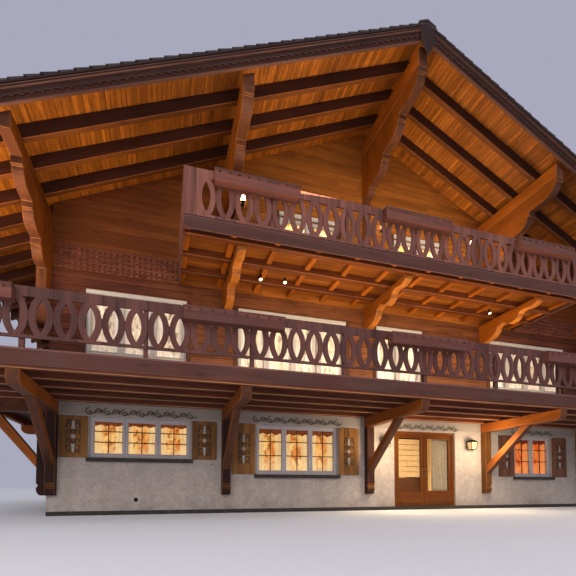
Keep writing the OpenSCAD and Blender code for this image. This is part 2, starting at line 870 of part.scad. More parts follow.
module upper_joists() {
    color("sienna") facing("front") for (i = [0:gallery_joists], gap = [0:len(gallery_beam_ds)]) {
        x = -gallery_w / 2 + fascia_t + i * gallery_joist_step;
        block(x, x + joist_w, -gallery_joist_outs[gap], -gallery_joist_ins[gap], gallery_joist_z, gallery_z);
    }
}

module upper_deck() {
    half_l = gallery_w / 2 - fascia_t;
    color("burlywood") facing("front")
        block(-half_l, half_l, -gallery_d + fascia_t, 0, gallery_z, attic_z);
}

module upper_fascia() {
    top = attic_z;
    bottom = gallery_beam_z - gallery_lip;
    color("rosybrown") facing("front") difference() {
        block(-gallery_w / 2, gallery_w / 2, -gallery_d, 0, bottom, top);
        block(-gallery_w / 2 + fascia_t, gallery_w / 2 - fascia_t, -gallery_d + fascia_t, eps,
            bottom - eps, top + eps);
    }
}

module upper_railing_front() {
    color("rosybrown") facing("front")
        translate([-gallery_w / 2, -gallery_d, attic_z]) gallery_railing(gallery_w);
}

module upper_railings_side() {
    length = gallery_d - rail_depth;
    color("rosybrown") {
        translate([-gallery_w / 2, -wall_y, attic_z]) rotate([0, 0, -90]) gallery_railing(length);
        translate([gallery_w / 2, -wall_y - length, attic_z]) rotate([0, 0, 90]) gallery_railing(length);
    }
}

module flower_box(length) {
    difference() {
        cube([length, box_d, box_h]);
        block(box_t, length - box_t, box_t, box_d - box_t, box_t, box_h + eps);
    }
}

end_box_x = balcony_x - box_l / 2 - fascia_t;
lower_box_xs = [-end_box_x, -box_pitch, 0, box_pitch, end_box_x];
upper_box_xs = [-upper_box_pitch, 0, upper_box_pitch];
lower_box_z = deck_z + railing_h - top_rail_h / 2 - box_h;
upper_box_z = attic_z + gallery_railing_h - top_rail_h / 2 - box_h;

module flower_boxes() {
    color("saddlebrown") facing("front") {
        for (x = lower_box_xs)
            translate([x - box_l / 2, -porch_d + fascia_t - box_d, lower_box_z]) flower_box(box_l);
        for (x = upper_box_xs)
            translate([x - upper_box_l / 2, -gallery_d - box_d, upper_box_z]) flower_box(upper_box_l);
    }
}

module window_frame(hole) {
    width = opening_w(hole);
    clear = (width - (hole[1] + 1) * frame_w) / hole[1];
    difference() {
        block(hole[0] - width / 2, hole[0] + width / 2, frame_set, frame_set + frame_t, hole[2], hole[3]);
        for (i = [0:hole[1] - 1])
            block(hole[0] - width / 2 + frame_w + i * (clear + frame_w),
                hole[0] - width / 2 + (i + 1) * (clear + frame_w),
                frame_set - eps, frame_set + frame_t + eps, hole[2] + frame_w, hole[3] - frame_w);
    }
}

module all_windows(side) {
    for (hole = side == "front" ? concat(front_ground, front_first, front_gable)
            : side == "back" ? concat(back_ground, back_first, back_gable)
            : concat(side_ground, side_first)) {
        $hole = hole;
        facing(side) children();
    }
}

module window_frames() {
    color("white") for (side = ["front", "right", "back", "left"])
        all_windows(side) window_frame($hole);
}

module window_glass() {
    color("lightblue") for (side = ["front", "right", "back", "left"])
        all_windows(side)
            block($hole[0] - opening_w($hole) / 2, $hole[0] + opening_w($hole) / 2,
                frame_set + frame_t, frame_set + frame_t + glass_t, $hole[2], $hole[3]);
}

module ground_windows() {
    for (side = ["front", "right", "back", "left"])
        for (hole = side == "front" ? front_ground : side == "back" ? back_ground : side_ground) {
            $hole = hole;
            facing(side) children();
        }
}

module window_sills() {
    color("dimgray") ground_windows()
        block($hole[0] - opening_w($hole) / 2 - sill_side, $hole[0] + opening_w($hole) / 2 + sill_side,
            -sill_out, 0, $hole[2] - sill_h, $hole[2]);
}

module shutters() {
    color("saddlebrown") ground_windows()
        for (side = [-1, 1]) {
            x = $hole[0] + side * (opening_w($hole) / 2 + shutter_gap + shutter_w / 2);
            block(x - shutter_w / 2, x + shutter_w / 2, -shutter_t, 0, $hole[2], $hole[3]);
        }
}

lantern_plate_w = 80;
lantern_plate_t = 20;
lantern_plate_h = 220;
lantern_arm_w = 24;
lantern_cap_h = 90;
lantern_hang = 60;

// Each lantern hangs in the middle of the free wall between the door and a post
module wall_lanterns() {
    out = lantern_w / 2 + lantern_hang;
    body_h = lantern_h - lantern_cap_h;
    post_edge = bracket_w / 2;
    color("black") for (x = [(post_edge + door_left) / 2, (door_right + bay_w - post_edge) / 2])
        facing("front") translate([x, 0, lantern_z]) {
            block(-lantern_plate_w / 2, lantern_plate_w / 2, -lantern_plate_t, 0,
                -lantern_plate_h / 2, lantern_plate_h / 2);
            block(-lantern_arm_w / 2, lantern_arm_w / 2, -out, -lantern_plate_t,
                lantern_plate_h / 4, lantern_plate_h / 4 + lantern_arm_w);
            translate([0, -out, -lantern_h / 2]) {
                cylinder(r1 = lantern_w / 3, r2 = lantern_w / 2, h = body_h, $fn = 6);
                translate([0, 0, body_h])
                    cylinder(r1 = 0.57 * lantern_w, r2 = lantern_arm_w / 2, h = lantern_cap_h, $fn = 6);
            }
        }
}

// The fixed half of a hinge: a barrel with its pin, on a plate let into the frame
module frame_hinge(side) {
    cylinder(r = barrel_r, h = barrel_h, $fn = 32);
    cylinder(r = pin_r, h = 2 * barrel_h - hinge_play, $fn = 32);
    hinge_plate(side);
}

// A plate from the barrel to the face it is screwed to, on the side given by its sign
module hinge_plate(side) {
    mirror([side < 0 ? 1 : 0, 0, 0])
        block(hinge_plate_in, hinge_plate_l, -barrel_r - eps, -barrel_r - eps + hinge_plate_t,
            hinge_play, barrel_h - hinge_play);
}

// The moving half of a hinge, without its bore
module leaf_hinge(side) {
    translate([0, 0, barrel_h + eps]) {
        cylinder(r = barrel_r, h = barrel_h - eps, $fn = 32);
        hinge_plate(-side);
    }
}

module door_frame() {
    color("sienna") union() {
        difference() {
            facing("front") block(door_left, door_right, frame_set, frame_set + frame_t,
                slab_t, ground_head_z);
            facing("front") block(door_left + frame_w, door_right - frame_w, frame_set - eps,
                frame_set + frame_t + eps, slab_t - eps, ground_head_z - frame_w);
        }
        for (z = hinge_zs) {
            translate([hinge_left_x, hinge_y, z]) frame_hinge(-1);
            translate([hinge_right_x, hinge_y, z]) frame_hinge(1);
        }
    }
}

// A glazed door leaf. side is -1 for the left leaf and 1 for the right one.
module door_leaf(side) {
    hinge_x = side < 0 ? hinge_left_x : hinge_right_x;
    x0 = side < 0 ? hinge_x + leaf_gap : hinge_x - leaf_gap - leaf_w;
    color("sienna") difference() {
        union() {
            block(x0, x0 + leaf_w, leaf_y, leaf_y + leaf_t, leaf_z, leaf_z + leaf_h);
            for (z = hinge_zs) translate([hinge_x, hinge_y, z]) leaf_hinge(side);
        }
        block(x0 + stile_w, x0 + leaf_w - stile_w, leaf_y - eps, leaf_y + leaf_t + eps,
            leaf_z + bottom_rail_h, leaf_z + leaf_h - stile_w);
        for (z = hinge_zs) translate([hinge_x, hinge_y, z + barrel_h])
            cylinder(r = pin_r + pin_gap, h = barrel_h + 2 * eps, $fn = 32);
    }
}

module door_glass(side) {
    hinge_x = side < 0 ? hinge_left_x : hinge_right_x;
    x0 = side < 0 ? hinge_x + leaf_gap : hinge_x - leaf_gap - leaf_w;
    mid_y = leaf_y + leaf_t / 2;
    color("lightblue")
        block(x0 + stile_w, x0 + leaf_w - stile_w, mid_y - glass_t / 2, mid_y + glass_t / 2,
            leaf_z + bottom_rail_h, leaf_z + leaf_h - stile_w);
}

ground_slab();
ground_wall_front_left();
ground_wall_front_right();
door_lintel_wall();
ground_side_wall("left");  // ground_wall_left
ground_side_wall("right");  // ground_wall_right
ground_wall_back();
first_floor();
timber_wall("front", front_first);  // timber_wall_front
timber_wall("left", side_first);  // timber_wall_left
timber_wall("right", side_first);  // timber_wall_right
timber_wall("back", back_first);  // timber_wall_back
attic_floor();
gable_wall("front", front_gable);  // gable_wall_front
gable_wall("back", back_gable);  // gable_wall_back
knee_walls();
purlins();
rafters(-1);  // rafters_left
rafters(1);  // rafters_right
roof_boards(-1);  // roof_boards_left
roof_boards(1);  // roof_boards_right
roof_covering(-1);  // roof_left
roof_covering(1);  // roof_right
ridge_cap();
bargeboards(-1);  // bargeboards_left
bargeboards(1);  // bargeboards_right
apex_plates();
ridge_brackets();
mid_brackets();
eaves_brackets();
balcony_posts();
balcony_beams();
balcony_braces();
lower_joists();
lower_deck_front();
lower_decks_side();
lower_fascia();
lower_railing_front();
lower_railings_side();
lower_railing_ends();
upper_consoles();
upper_beams();
upper_joists();
upper_deck();
upper_fascia();
upper_railing_front();
upper_railings_side();
flower_boxes();
window_frames();
window_glass();
window_sills();
shutters();
wall_lanterns();
door_frame();
door_leaf(-1);  // door_leaf_left
door_leaf(1);  // door_leaf_right
door_glass(-1);  // door_glass_left
door_glass(1);  // door_glass_right
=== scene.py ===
"""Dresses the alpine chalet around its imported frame: a Blender add-on that is run as a script."""

import collections
import math
import random

import bmesh
import bpy
from mathutils import Matrix, Vector


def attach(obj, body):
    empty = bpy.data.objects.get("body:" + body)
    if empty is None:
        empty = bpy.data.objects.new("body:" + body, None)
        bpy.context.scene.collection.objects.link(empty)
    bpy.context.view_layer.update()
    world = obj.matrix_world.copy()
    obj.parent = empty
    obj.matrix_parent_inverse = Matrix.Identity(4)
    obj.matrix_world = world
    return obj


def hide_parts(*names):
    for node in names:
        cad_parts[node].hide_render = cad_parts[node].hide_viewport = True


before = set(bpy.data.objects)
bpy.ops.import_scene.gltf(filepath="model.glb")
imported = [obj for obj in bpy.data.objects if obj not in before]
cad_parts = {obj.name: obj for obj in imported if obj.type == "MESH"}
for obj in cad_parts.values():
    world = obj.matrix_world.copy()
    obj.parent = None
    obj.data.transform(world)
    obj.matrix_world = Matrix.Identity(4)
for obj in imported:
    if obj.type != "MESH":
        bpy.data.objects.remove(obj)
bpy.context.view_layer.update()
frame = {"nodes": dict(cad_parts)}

bl_info = {
    "name": "Alpine chalet dressing",
    "version": (1, 0, 0),
    "blender": (4, 5, 0),
    "location": "View3D > Sidebar > Chalet",
    "description": "Boards, shingles, windows, ornaments and finishes of the alpine chalet",
    "category": "Object",
}

NODES = frame["nodes"]
HOUSE = "house"


def srgb(red, green, blue):
    """A colour given as 0 to 255, in linear light."""
    def linear(value):
        share = value / 255
        return share / 12.92 if share <= 0.04045 else ((share + 0.055) / 1.055) ** 2.4
    return (linear(red), linear(green), linear(blue), 1.0)


def length(label, words, value, low, high):
    return bpy.props.FloatProperty(
        name=label, description=words, default=value, min=low, max=high, unit="LENGTH")


def colour_choice(label, words, *value):
    return bpy.props.FloatVectorProperty(
        name=label, description=words, default=srgb(*value), size=4, min=0, max=1, subtype="COLOR")


class ChaletSizes(bpy.types.PropertyGroup):
    """Sizes of the boards, shingles and trims, in metres."""
    siding_pitch: length("Siding pitch", "Height of one wall board", 0.175, 0.08, 0.4)
    siding_thick: length("Siding thickness", "How far the wall boards stand out", 0.026, 0.01, 0.05)
    casing_width: length("Casing width", "Width of the boards round an opening", 0.11, 0.05, 0.2)
    shingle_course: length("Shingle course", "Length of a shingle that shows", 0.27, 0.15, 0.5)
    shingle_width: length("Shingle width", "Mean width of a shingle", 0.24, 0.1, 0.5)
    # The worn edge's finish is paler than the timber: wear, and a painted highlight
    timber_edge: length("Timber edge", "Width of the worn edge of a beam", 0.012, 0.002, 0.03)
    muntin: length("Muntin", "Width of the thin bars in a casement", 0.022, 0.01, 0.05)
    seed: bpy.props.IntProperty(
        name="Seed", description="Order of the random draws", default=7, min=0, max=999)


class ChaletColours(bpy.types.PropertyGroup):
    """Colours of the main finishes."""
    stucco: colour_choice("Stucco", "Lime render of the ground storey", 172, 160, 154)
    siding: colour_choice("Siding", "Stained boards of the first storey", 108, 63, 37)
    gable: colour_choice("Gable boards", "Stained boards of the gable", 139, 81, 30)
    beam: colour_choice("Beams", "Stained beams and rafters", 99, 48, 19)
    bracket: colour_choice("Brackets", "Stained brackets, consoles and braces", 146, 76, 17)
    soffit: colour_choice("Soffit", "Varnished boards under the roof", 156, 88, 27)
    railing: colour_choice("Railings", "Stained railings and fascias", 99, 59, 52)
    frame: colour_choice("Window frames", "Painted window frames", 184, 177, 182)
    door: colour_choice("Door", "Varnished door and its frame", 108, 57, 8)
    shutter: colour_choice("Shutters", "Stained shutters", 144, 98, 50)
    glow: colour_choice("Lit rooms", "Light behind the windows", 255, 214, 140)


def sizes():
    return bpy.context.scene.chalet_sizes


def colours():
    return bpy.context.scene.chalet_colours


# The house, in metres, as the frame has it
HALF_W, HALF_D = 8.0, 6.5
FIRST_Z, ATTIC_Z = 2.85, 5.9
ROOF_PITCH = math.radians(25)
SLOPE, UPRIGHT = math.tan(ROOF_PITCH), 1 / math.cos(ROOF_PITCH)
BOARD_UNDER, COVERING_UNDER = 10.917, 10.9505
EAVES_BEAM_UNDER = 6.57
ROOF_X, ROOF_Y = 10.2, 9.48
GALLERY_X = 5.2
FRIEZE_LOW, FRIEZE_HIGH = 5.68, 6.24
DOOR_LEFT, DOOR_RIGHT = 0.85, 2.94
# How far behind the wall's face the windows and the lit rooms stand, and a frame's depth
FRAME_SET, FRAME_T, ROOM_SET = 0.06, 0.08, 0.19
SIDES = {"front": 0, "right": 90, "back": 180, "left": 270}

Opening = collections.namedtuple("Opening", "left right leaves sill head kind")


def opening_row(kind, mids, leaves, leaf, sill, head):
    """Like openings beside each other, from their middles, casements and casement width."""
    half = leaves * leaf / 2
    return [Opening(mid - half, mid + half, leaves, sill, head, kind) for mid in mids]


OPENINGS = {
    "front": [
        *opening_row("ground", [-6.0], 3, 0.762, 1.33, 2.28),
        *opening_row("ground", [-2.065], 3, 0.762, 0.98, 2.28),
        *opening_row("ground", [5.955], 2, 0.762, 0.98, 2.28),
        *opening_row("upper", [-6.13], 3, 0.76, 3.73, 5.17),
        *opening_row("upper", [-2.18], 4, 0.76, 3.09, 5.17),
        *opening_row("upper", [1.05], 2, 0.76, FIRST_Z, 5.17),
        *opening_row("upper", [5.8], 4, 0.76, 3.73, 5.17),
        *opening_row("gable", [-1.75, 1.75], 2, 0.85, ATTIC_Z, 7.98),
    ],
    "back": [
        *opening_row("ground", [-4.8, 0, 4.8], 2, 0.762, 0.98, 2.28),
        *opening_row("upper", [-4.8, 0, 4.8], 2, 0.76, 3.73, 5.17),
        *opening_row("gable", [-1.75, 1.75], 2, 0.76, 6.78, 7.98),
    ],
}
for wall in ("left", "right"):
    OPENINGS[wall] = [
        *opening_row("ground", [-4, 0, 4], 2, 0.762, 0.98, 2.28),
        *opening_row("upper", [-4, 0, 4], 2, 0.76, 3.73, 5.17),
    ]


def is_balcony_door(opening):
    return opening.sill in (FIRST_Z, ATTIC_Z)


def placed(x, y, z):
    return Matrix.Translation((x, y, z))


def rotated(degrees, axis):
    return Matrix.Rotation(math.radians(degrees), 4, axis)


def on_wall(side):
    """Turns wall coordinates, x to the right seen from outside and y inward, into the house's."""
    reach = HALF_D if side in ("front", "back") else HALF_W
    return rotated(SIDES[side], "Z") @ placed(0, -reach, 0)


def faces_of(verts):
    return list(dict.fromkeys(face for vert in verts for face in vert.link_faces))


def edges_of(verts):
    return list(dict.fromkeys(edge for vert in verts for edge in vert.link_edges))


def verts_in(geometry):
    return [item for item in geometry if isinstance(item, bmesh.types.BMVert)]


def paint(verts, slot):
    for face in faces_of(verts):
        face.material_index = slot


def shift(bm, verts, x=0.0, y=0.0, z=0.0):
    bmesh.ops.translate(bm, verts=verts, vec=(x, y, z))


def move(bm, verts, place):
    bmesh.ops.transform(bm, matrix=place, verts=verts)


def add_box(bm, low, high, slot=0):
    low, high = Vector(low), Vector(high)
    place = Matrix.Translation((low + high) / 2) @ Matrix.Diagonal((*(high - low), 1))
    made = bmesh.ops.create_cube(bm, size=1, matrix=place)["verts"]
    if slot:
        paint(made, slot)
    return made


def add_ring(bm, left, right, low, high, bars, front, back, head_slot=0):
    """Uprights, then a head and a foot between them. Bars gives their widths, a foot of 0 is none."""
    side, head, foot = bars
    made = add_box(bm, (left, front, low), (left + side, back, high))
    made += add_box(bm, (right - side, front, low), (right, back, high))
    made += add_box(bm, (left + side, front, high - head), (right - side, back, high), head_slot)
    if foot:
        made += add_box(bm, (left + side, front, low), (right - side, back, low + foot))
    return made


def add_plate(bm, points, thick, place=Matrix(), slot=0):
    """A closed plate from an outline in x and z, given its thickness along y."""
    outline = [bm.verts.new((x, 0, z)) for x, z in points]
    far = verts_in(bmesh.ops.extrude_face_region(bm, geom=[bm.faces.new(outline)])["geom"])
    shift(bm, far, y=thick)
    verts = outline + far
    bmesh.ops.recalc_face_normals(bm, faces=faces_of(verts))
    move(bm, verts, place)
    if slot:
        paint(verts, slot)
    return verts


def add_turned(bm, profile, place=Matrix(), steps=14):
    """A solid turned about Z from points given as radius and height, both ends on the axis."""
    line = [bm.verts.new((radius, 0, height)) for radius, height in profile]
    edges = [bm.edges.new(pair) for pair in zip(line, line[1:])]
    made = bmesh.ops.spin(
        bm, geom=line + edges, cent=(0, 0, 0), axis=(0, 0, 1), angle=2 * math.pi, steps=steps,
        use_merge=True)["geom_last"]
    bmesh.ops.remove_doubles(bm, verts=reached(line + verts_in(made)), dist=1e-6)
    verts = reached(line)
    bmesh.ops.recalc_face_normals(bm, faces=faces_of(verts))
    move(bm, verts, place)


def reached(start):
    """All vertices that hang together with the given ones, in the same order each run."""
    seen = dict.fromkeys(vert for vert in start if vert.is_valid)
    front = list(seen)
    while front:
        vert = front.pop()
        for edge in vert.link_edges:
            other = edge.other_vert(vert)
            if other not in seen:
                seen[other] = None
                front.append(other)
    return list(seen)


def soften(bm, edges, width, segments=1):
    """Bevels the edges, and returns the new faces."""
    return bmesh.ops.bevel(
        bm, geom=edges, offset=width, offset_type="OFFSET", segments=segments, profile=0.5,
        affect="EDGES", clamp_overlap=True, material=-1)["faces"]


# How far each solid's grain is shifted at most, so that no two solids are alike
GRAIN_SHIFT = 40


def lay_grain(bm, offset):
    """Gives every solid its own grain coordinates, with x along its longest edge."""
    draw = random.Random(sizes().seed + offset)
    layer = bm.verts.layers.float_vector.new("grain")
    bm.verts.index_update()
    bm.edges.index_update()
    done = set()
    for first in bm.verts:
        if first not in done:
            solid = reached([first])
            done.update(solid)
            grain_solid(solid, layer, draw)


def lay_box_grain(bm, offset):
    """The same for a mesh of many separate eight-cornered solids made one by one."""
    draw = random.Random(sizes().seed + offset)
    layer = bm.verts.layers.float_vector.new("grain")
    bm.verts.ensure_lookup_table()
    bm.edges.index_update()
    for first in range(0, len(bm.verts), 8):
        grain_solid(bm.verts[first:first + 8], layer, draw)


def grain_solid(solid, layer, draw):
    """Grain coordinates of one solid. Of its equally long edges the first made counts."""
    longest = max(edges_of(solid), key=lambda edge: (round(edge.calc_length(), 4), -edge.index))
    along = (longest.verts[1].co - longest.verts[0].co).normalized()
    if along.dot(Vector((1, 1, 1))) < 0:
        along.negate()
    side = along.orthogonal().normalized()
    over = along.cross(side)
    start = Vector([draw.uniform(-GRAIN_SHIFT, GRAIN_SHIFT) for _ in range(3)])
    for vert in solid:
        at = vert.co
        vert[layer] = Vector((along.dot(at), side.dot(at), over.dot(at))) + start


def piece(bm, name, finishes, slot, replaces=(), body=HOUSE, smooth_angle=None):
    """Makes an object of a finished mesh, and ties it to the frame."""
    mesh = bpy.data.meshes.new(name)
    bm.to_mesh(mesh)
    bm.free()
    for finish in finishes.split():
        mesh.materials.append(bpy.data.materials[finish])
    if smooth_angle is not None:
        mesh.polygons.foreach_set("use_smooth", [True] * len(mesh.polygons))
        mesh.set_sharp_from_angle(angle=math.radians(smooth_angle))
    made = bpy.data.objects.new(name, mesh)
    bpy.context.scene.collection.objects.link(made)
    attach(made, body)
    if replaces:
        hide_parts(*replaces)
    return made


def node_copy(*names):
    """One mesh of some CAD nodes, with their loose triangles merged into flat faces."""
    bm = bmesh.new()
    for name in names:
        part = bmesh.new()
        part.from_mesh(NODES[name].data)
        bmesh.ops.remove_doubles(part, verts=part.verts, dist=1e-5)
        bmesh.ops.dissolve_limit(
            part, angle_limit=math.radians(2), use_dissolve_boundaries=False, verts=part.verts,
            edges=part.edges)
        mesh = bpy.data.meshes.new(name)
        part.to_mesh(mesh)
        part.free()
        bm.from_mesh(mesh)
        bpy.data.meshes.remove(mesh)
    return bm


class Wiring:
    """The nodes of a material, a group or the world, with short calls for adding and joining them."""

    def __init__(self, tree):
        self.tree = tree

    def put(self, socket, value):
        if isinstance(value, bpy.types.NodeSocket):
            self.tree.links.new(value, socket)
        else:
            socket.default_value = value

    def add(self, kind, inputs=None, **settings):
        node = self.tree.nodes.new(kind)
        for name, value in settings.items():
            setattr(node, name, value)
        for name, value in (inputs or {}).items():
            self.put(node.inputs[name], value)
        return node

    def feed(self, kind, values, **settings):
        """The first output of a new node whose first inputs take the values in turn."""
        return self.add(kind, dict(enumerate(values)), **settings).outputs[0]

    def math(self, operation, *values):
        return self.feed("ShaderNodeMath", values, operation=operation)

    def times(self, first, second):
        return self.math("MULTIPLY", first, second)

    def plus(self, first, second):
        return self.math("ADD", first, second)

    def span(self, value, low, high, to_low=0.0, to_high=1.0):
        return self.feed("ShaderNodeMapRange", (value, low, high, to_low, to_high))

    def mix(self, factor, first, second, blend="MIX"):
        node = self.add("ShaderNodeMix", {0: factor, 6: first, 7: second}, data_type="RGBA",
                        blend_type=blend)
        return node.outputs[2]

    def vary(self, noise, low, high, colour, dark, pale):
        """A colour from a darker to a paler shade of it, as a noise goes from low to high."""
        return self.mix(self.span(noise, low, high), shade(colour, dark), shade(colour, pale))

    def noise(self, place, scale, detail=3.0, roughness=0.55, distortion=0.0):
        return self.add("ShaderNodeTexNoise", {
            "Vector": place, "Scale": scale, "Detail": detail, "Roughness": roughness,
            "Distortion": distortion}).outputs["Fac"]

    def draw(self, number, output):
        """A random value or colour that belongs to a number."""
        return self.add("ShaderNodeTexWhiteNoise", {"W": number}, noise_dimensions="1D").outputs[output]

    def stretch(self, place, factors):
        return self.feed("ShaderNodeVectorMath", (place, factors), operation="MULTIPLY")

    def shifted(self, place, amount):
        return self.feed("ShaderNodeVectorMath", (place, amount), operation="ADD")

    def scaled(self, place, factor):
        node = self.add("ShaderNodeVectorMath", {0: place, "Scale": factor}, operation="SCALE")
        return node.outputs[0]

    def split(self, place):
        return self.add("ShaderNodeSeparateXYZ", {0: place}).outputs

    def join(self, x, y, z):
        return self.feed("ShaderNodeCombineXYZ", (x, y, z))

    def attribute(self, name, output):
        return self.add("ShaderNodeAttribute", attribute_name=name).outputs[output]

    def effect(self, name, inputs):
        return self.add("ShaderNodeGroup", inputs, node_tree=bpy.data.node_groups[name]).outputs

    def bump(self, height, distance):
        return self.add("ShaderNodeBump", {"Distance": distance, "Height": height}).outputs[0]


class Effect(Wiring):
    """A new shader node group of numbers. An input without a value is a place."""

    def __init__(self, name, inputs, outputs):
        super().__init__(bpy.data.node_groups.new(name, "ShaderNodeTree"))
        for label, value in inputs.items():
            kind = "NodeSocketVector" if value is None else "NodeSocketFloat"
            socket = self.tree.interface.new_socket(label, in_out="INPUT", socket_type=kind)
            if value is not None:
                socket.default_value = value
        for label in outputs:
            self.tree.interface.new_socket(label, in_out="OUTPUT", socket_type="NodeSocketFloat")
        self.given = self.add("NodeGroupInput").outputs
        self.out = self.add("NodeGroupOutput").inputs

    def give(self, **values):
        for name, value in values.items():
            self.put(self.out[name], value)


class Finish(Wiring):
    """A new material, with its shader and the place on the piece that it reads."""

    def __init__(self, name):
        material = bpy.data.materials.new(name)
        material.use_nodes = True
        super().__init__(material.node_tree)
        self.tree.nodes.clear()
        self.shader = self.add("ShaderNodeBsdfPrincipled")
        self.add("ShaderNodeOutputMaterial", {"Surface": self.shader.outputs[0]})
        self.spot = self.add("ShaderNodeTexCoord").outputs["Object"]

    def weather(self, size):
        return self.effect("Weathering", {"Place": self.spot, "Size": size})

    def give(self, colour, roughness, **others):
        """Others are more inputs of the shader, with _ for a space."""
        others.update({"Base Color": colour, "Roughness": roughness})
        for name, value in others.items():
            self.put(self.shader.inputs[name.replace("_", " ")], value)


def make_grain_effect():
    """Wood grain: long streaks, fine pores and a few knots, with x of Place along the fibres."""
    wires = Effect("Timber grain", {"Place": None, "Fineness": 1.0}, ("Streak", "Knot", "Height"))
    place = wires.scaled(wires.given["Place"], wires.given["Fineness"])
    wide = wires.noise(wires.stretch(place, (0.5, 7.0, 7.0)), 1.0, 4.0, 0.6, 0.5)
    pores = wires.noise(wires.stretch(place, (2.2, 60.0, 60.0)), 1.0, 2.0, 0.6)
    knots = wires.add("ShaderNodeTexVoronoi", {
        "Vector": wires.stretch(place, (1.1, 3.2, 3.2)), "Scale": 1.0})
    streak = wires.plus(wires.times(wide, 0.72), wires.times(pores, 0.28))
    wires.give(Streak=wires.span(streak, 0.32, 0.68),
               Knot=wires.span(knots.outputs["Distance"], 0.05, 0.17, 1.0, 0.0),
               Height=wires.plus(wires.times(pores, 0.6), wires.times(wide, 0.4)))


def make_board_effect():
    """A run of boards: the tone of each, the dark joint between two, and their rounded edges."""
    wires = Effect("Board run", {"Across": 0.0, "Pitch": 0.15, "Seam": 0.006},
                   ("Tone", "Joint", "Height"))
    pitch, seam = wires.given["Pitch"], wires.given["Seam"]
    count = wires.math("DIVIDE", wires.given["Across"], pitch)
    share = wires.math("FRACT", count)
    edge = wires.times(wires.math("MINIMUM", share, wires.math("SUBTRACT", 1.0, share)), pitch)
    wires.give(Tone=wires.draw(wires.math("FLOOR", count), "Value"),
               Joint=wires.span(edge, 0.0, seam, 1.0, 0.0),
               Height=wires.span(edge, 0.0, wires.times(seam, 2.0)))


def make_weather_effect():
    """Weathering: clouded patches and fine specks, from 0 where sound to 1 where worn."""
    wires = Effect("Weathering", {"Place": None, "Size": 1.0}, ("Patch", "Speck"))
    place = wires.scaled(wires.given["Place"], wires.given["Size"])
    wires.give(Patch=wires.span(wires.noise(place, 0.9, 4.0, 0.62, 0.4), 0.38, 0.7),
               Speck=wires.span(wires.noise(place, 26.0, 2.0, 0.7), 0.55, 0.75))


def shade(colour, factor):
    """A colour made darker or lighter by a factor."""
    return tuple(min(1.0, part * factor) for part in colour[:3]) + (1.0,)


def setting_or_srgb(value):
    """A colour given as the name of a setting, or as red, green and blue from 0 to 255."""
    return tuple(getattr(colours(), value)) if isinstance(value, str) else srgb(*value)


def tinted_between(wires, base, far, stain):
    """The colour times a tint that comes in between two places."""
    start, full, tint = stain
    return wires.mix(1.0, base, wires.mix(wires.span(far, start, full), WHITE, tint), "MULTIPLY")


WHITE = (1.0, 1.0, 1.0, 1.0)
GRAIN_AXES = {"X": (0, 1, 2), "Y": (1, 0, 2), "Z": (2, 0, 1)}
# How far the grain jumps from one board of a run to another
BOARD_STEP = 31.0


def make_timber(name, colour, worn, worn_amount, contrast, along=None, across=None, pitch=None,
                tone=0.3, seam=0.006, fineness=1.0, ends=None, east=None):
    """Stained or varnished timber, a beam or a run of boards.

    Along is the grain's axis; without one it follows each solid's own coordinates. Across is the
    axis that counts the boards, and a factor and a start for it; without a pitch they are wall
    boards. Ends darkens the timber towards the house's corners, a painted shade away from the
    lamps in the middle; east tints it towards the house's right, on the posts a painted light of
    the lamps by the door.
    """
    wires = Finish(name)
    parts = wires.split(wires.spot)
    if along:
        place = wires.join(*(parts[index] for index in GRAIN_AXES[along]))
    else:
        place = wires.attribute("grain", "Vector")
    if across:
        axis, factor, start = across
        value = wires.math("MULTIPLY_ADD", parts["XYZ".index(axis)], factor, start)
        boards = wires.effect(
            "Board run", {"Across": value, "Pitch": pitch or sizes().siding_pitch, "Seam": seam})
        step = wires.times(boards["Tone"], BOARD_STEP)
        place = wires.shifted(place, wires.join(step, step, 0.0))
        level = wires.span(boards["Tone"], 0.0, 1.0, 1 - tone, 1 + 0.6 * tone)
    else:
        drift = wires.noise(wires.stretch(place, (0.02, 0.02, 0.02)), 1.0, 0.0)
        level = wires.span(drift, 0.3, 0.7, 1 - tone, 1 + 0.6 * tone)
    grain = wires.effect("Timber grain", {"Place": place, "Fineness": fineness})
    weather = wires.weather(1.0)
    base = wires.mix(grain["Streak"], shade(colour, 1 - contrast), shade(colour, 1 + 0.7 * contrast))
    base = wires.mix(wires.times(grain["Knot"], 0.55), base, shade(colour, 0.28))
    base = wires.mix(1.0, base, wires.join(level, level, level), "MULTIPLY")
    # East tints it towards the house's right: on the posts, a painted light of the lamps by the door
    if east:
        base = tinted_between(wires, base, parts[0], east)
    # Ends darkens it towards the house's corners: a painted shade, away from the lamps in the middle
    if ends:
        far = wires.plus(wires.math("ABSOLUTE", parts[0]), wires.times(weather["Patch"], 0.5))
        base = tinted_between(wires, base, far, ends)
    mask = wires.plus(wires.times(weather["Patch"], 0.75), wires.times(weather["Speck"], 0.35))
    base = wires.mix(wires.times(mask, worn_amount), base, worn)
    height = grain["Height"]
    if across:
        base = wires.mix(wires.times(boards["Joint"], 0.82), base, shade(colour, 0.1))
        height = wires.plus(wires.times(height, 0.35), wires.times(boards["Height"], 1.2))
    wires.give(base, wires.span(grain["Streak"], 0.0, 1.0, 0.5, 0.7), Specular_IOR_Level=0.3,
               Normal=wires.bump(height, 0.004))


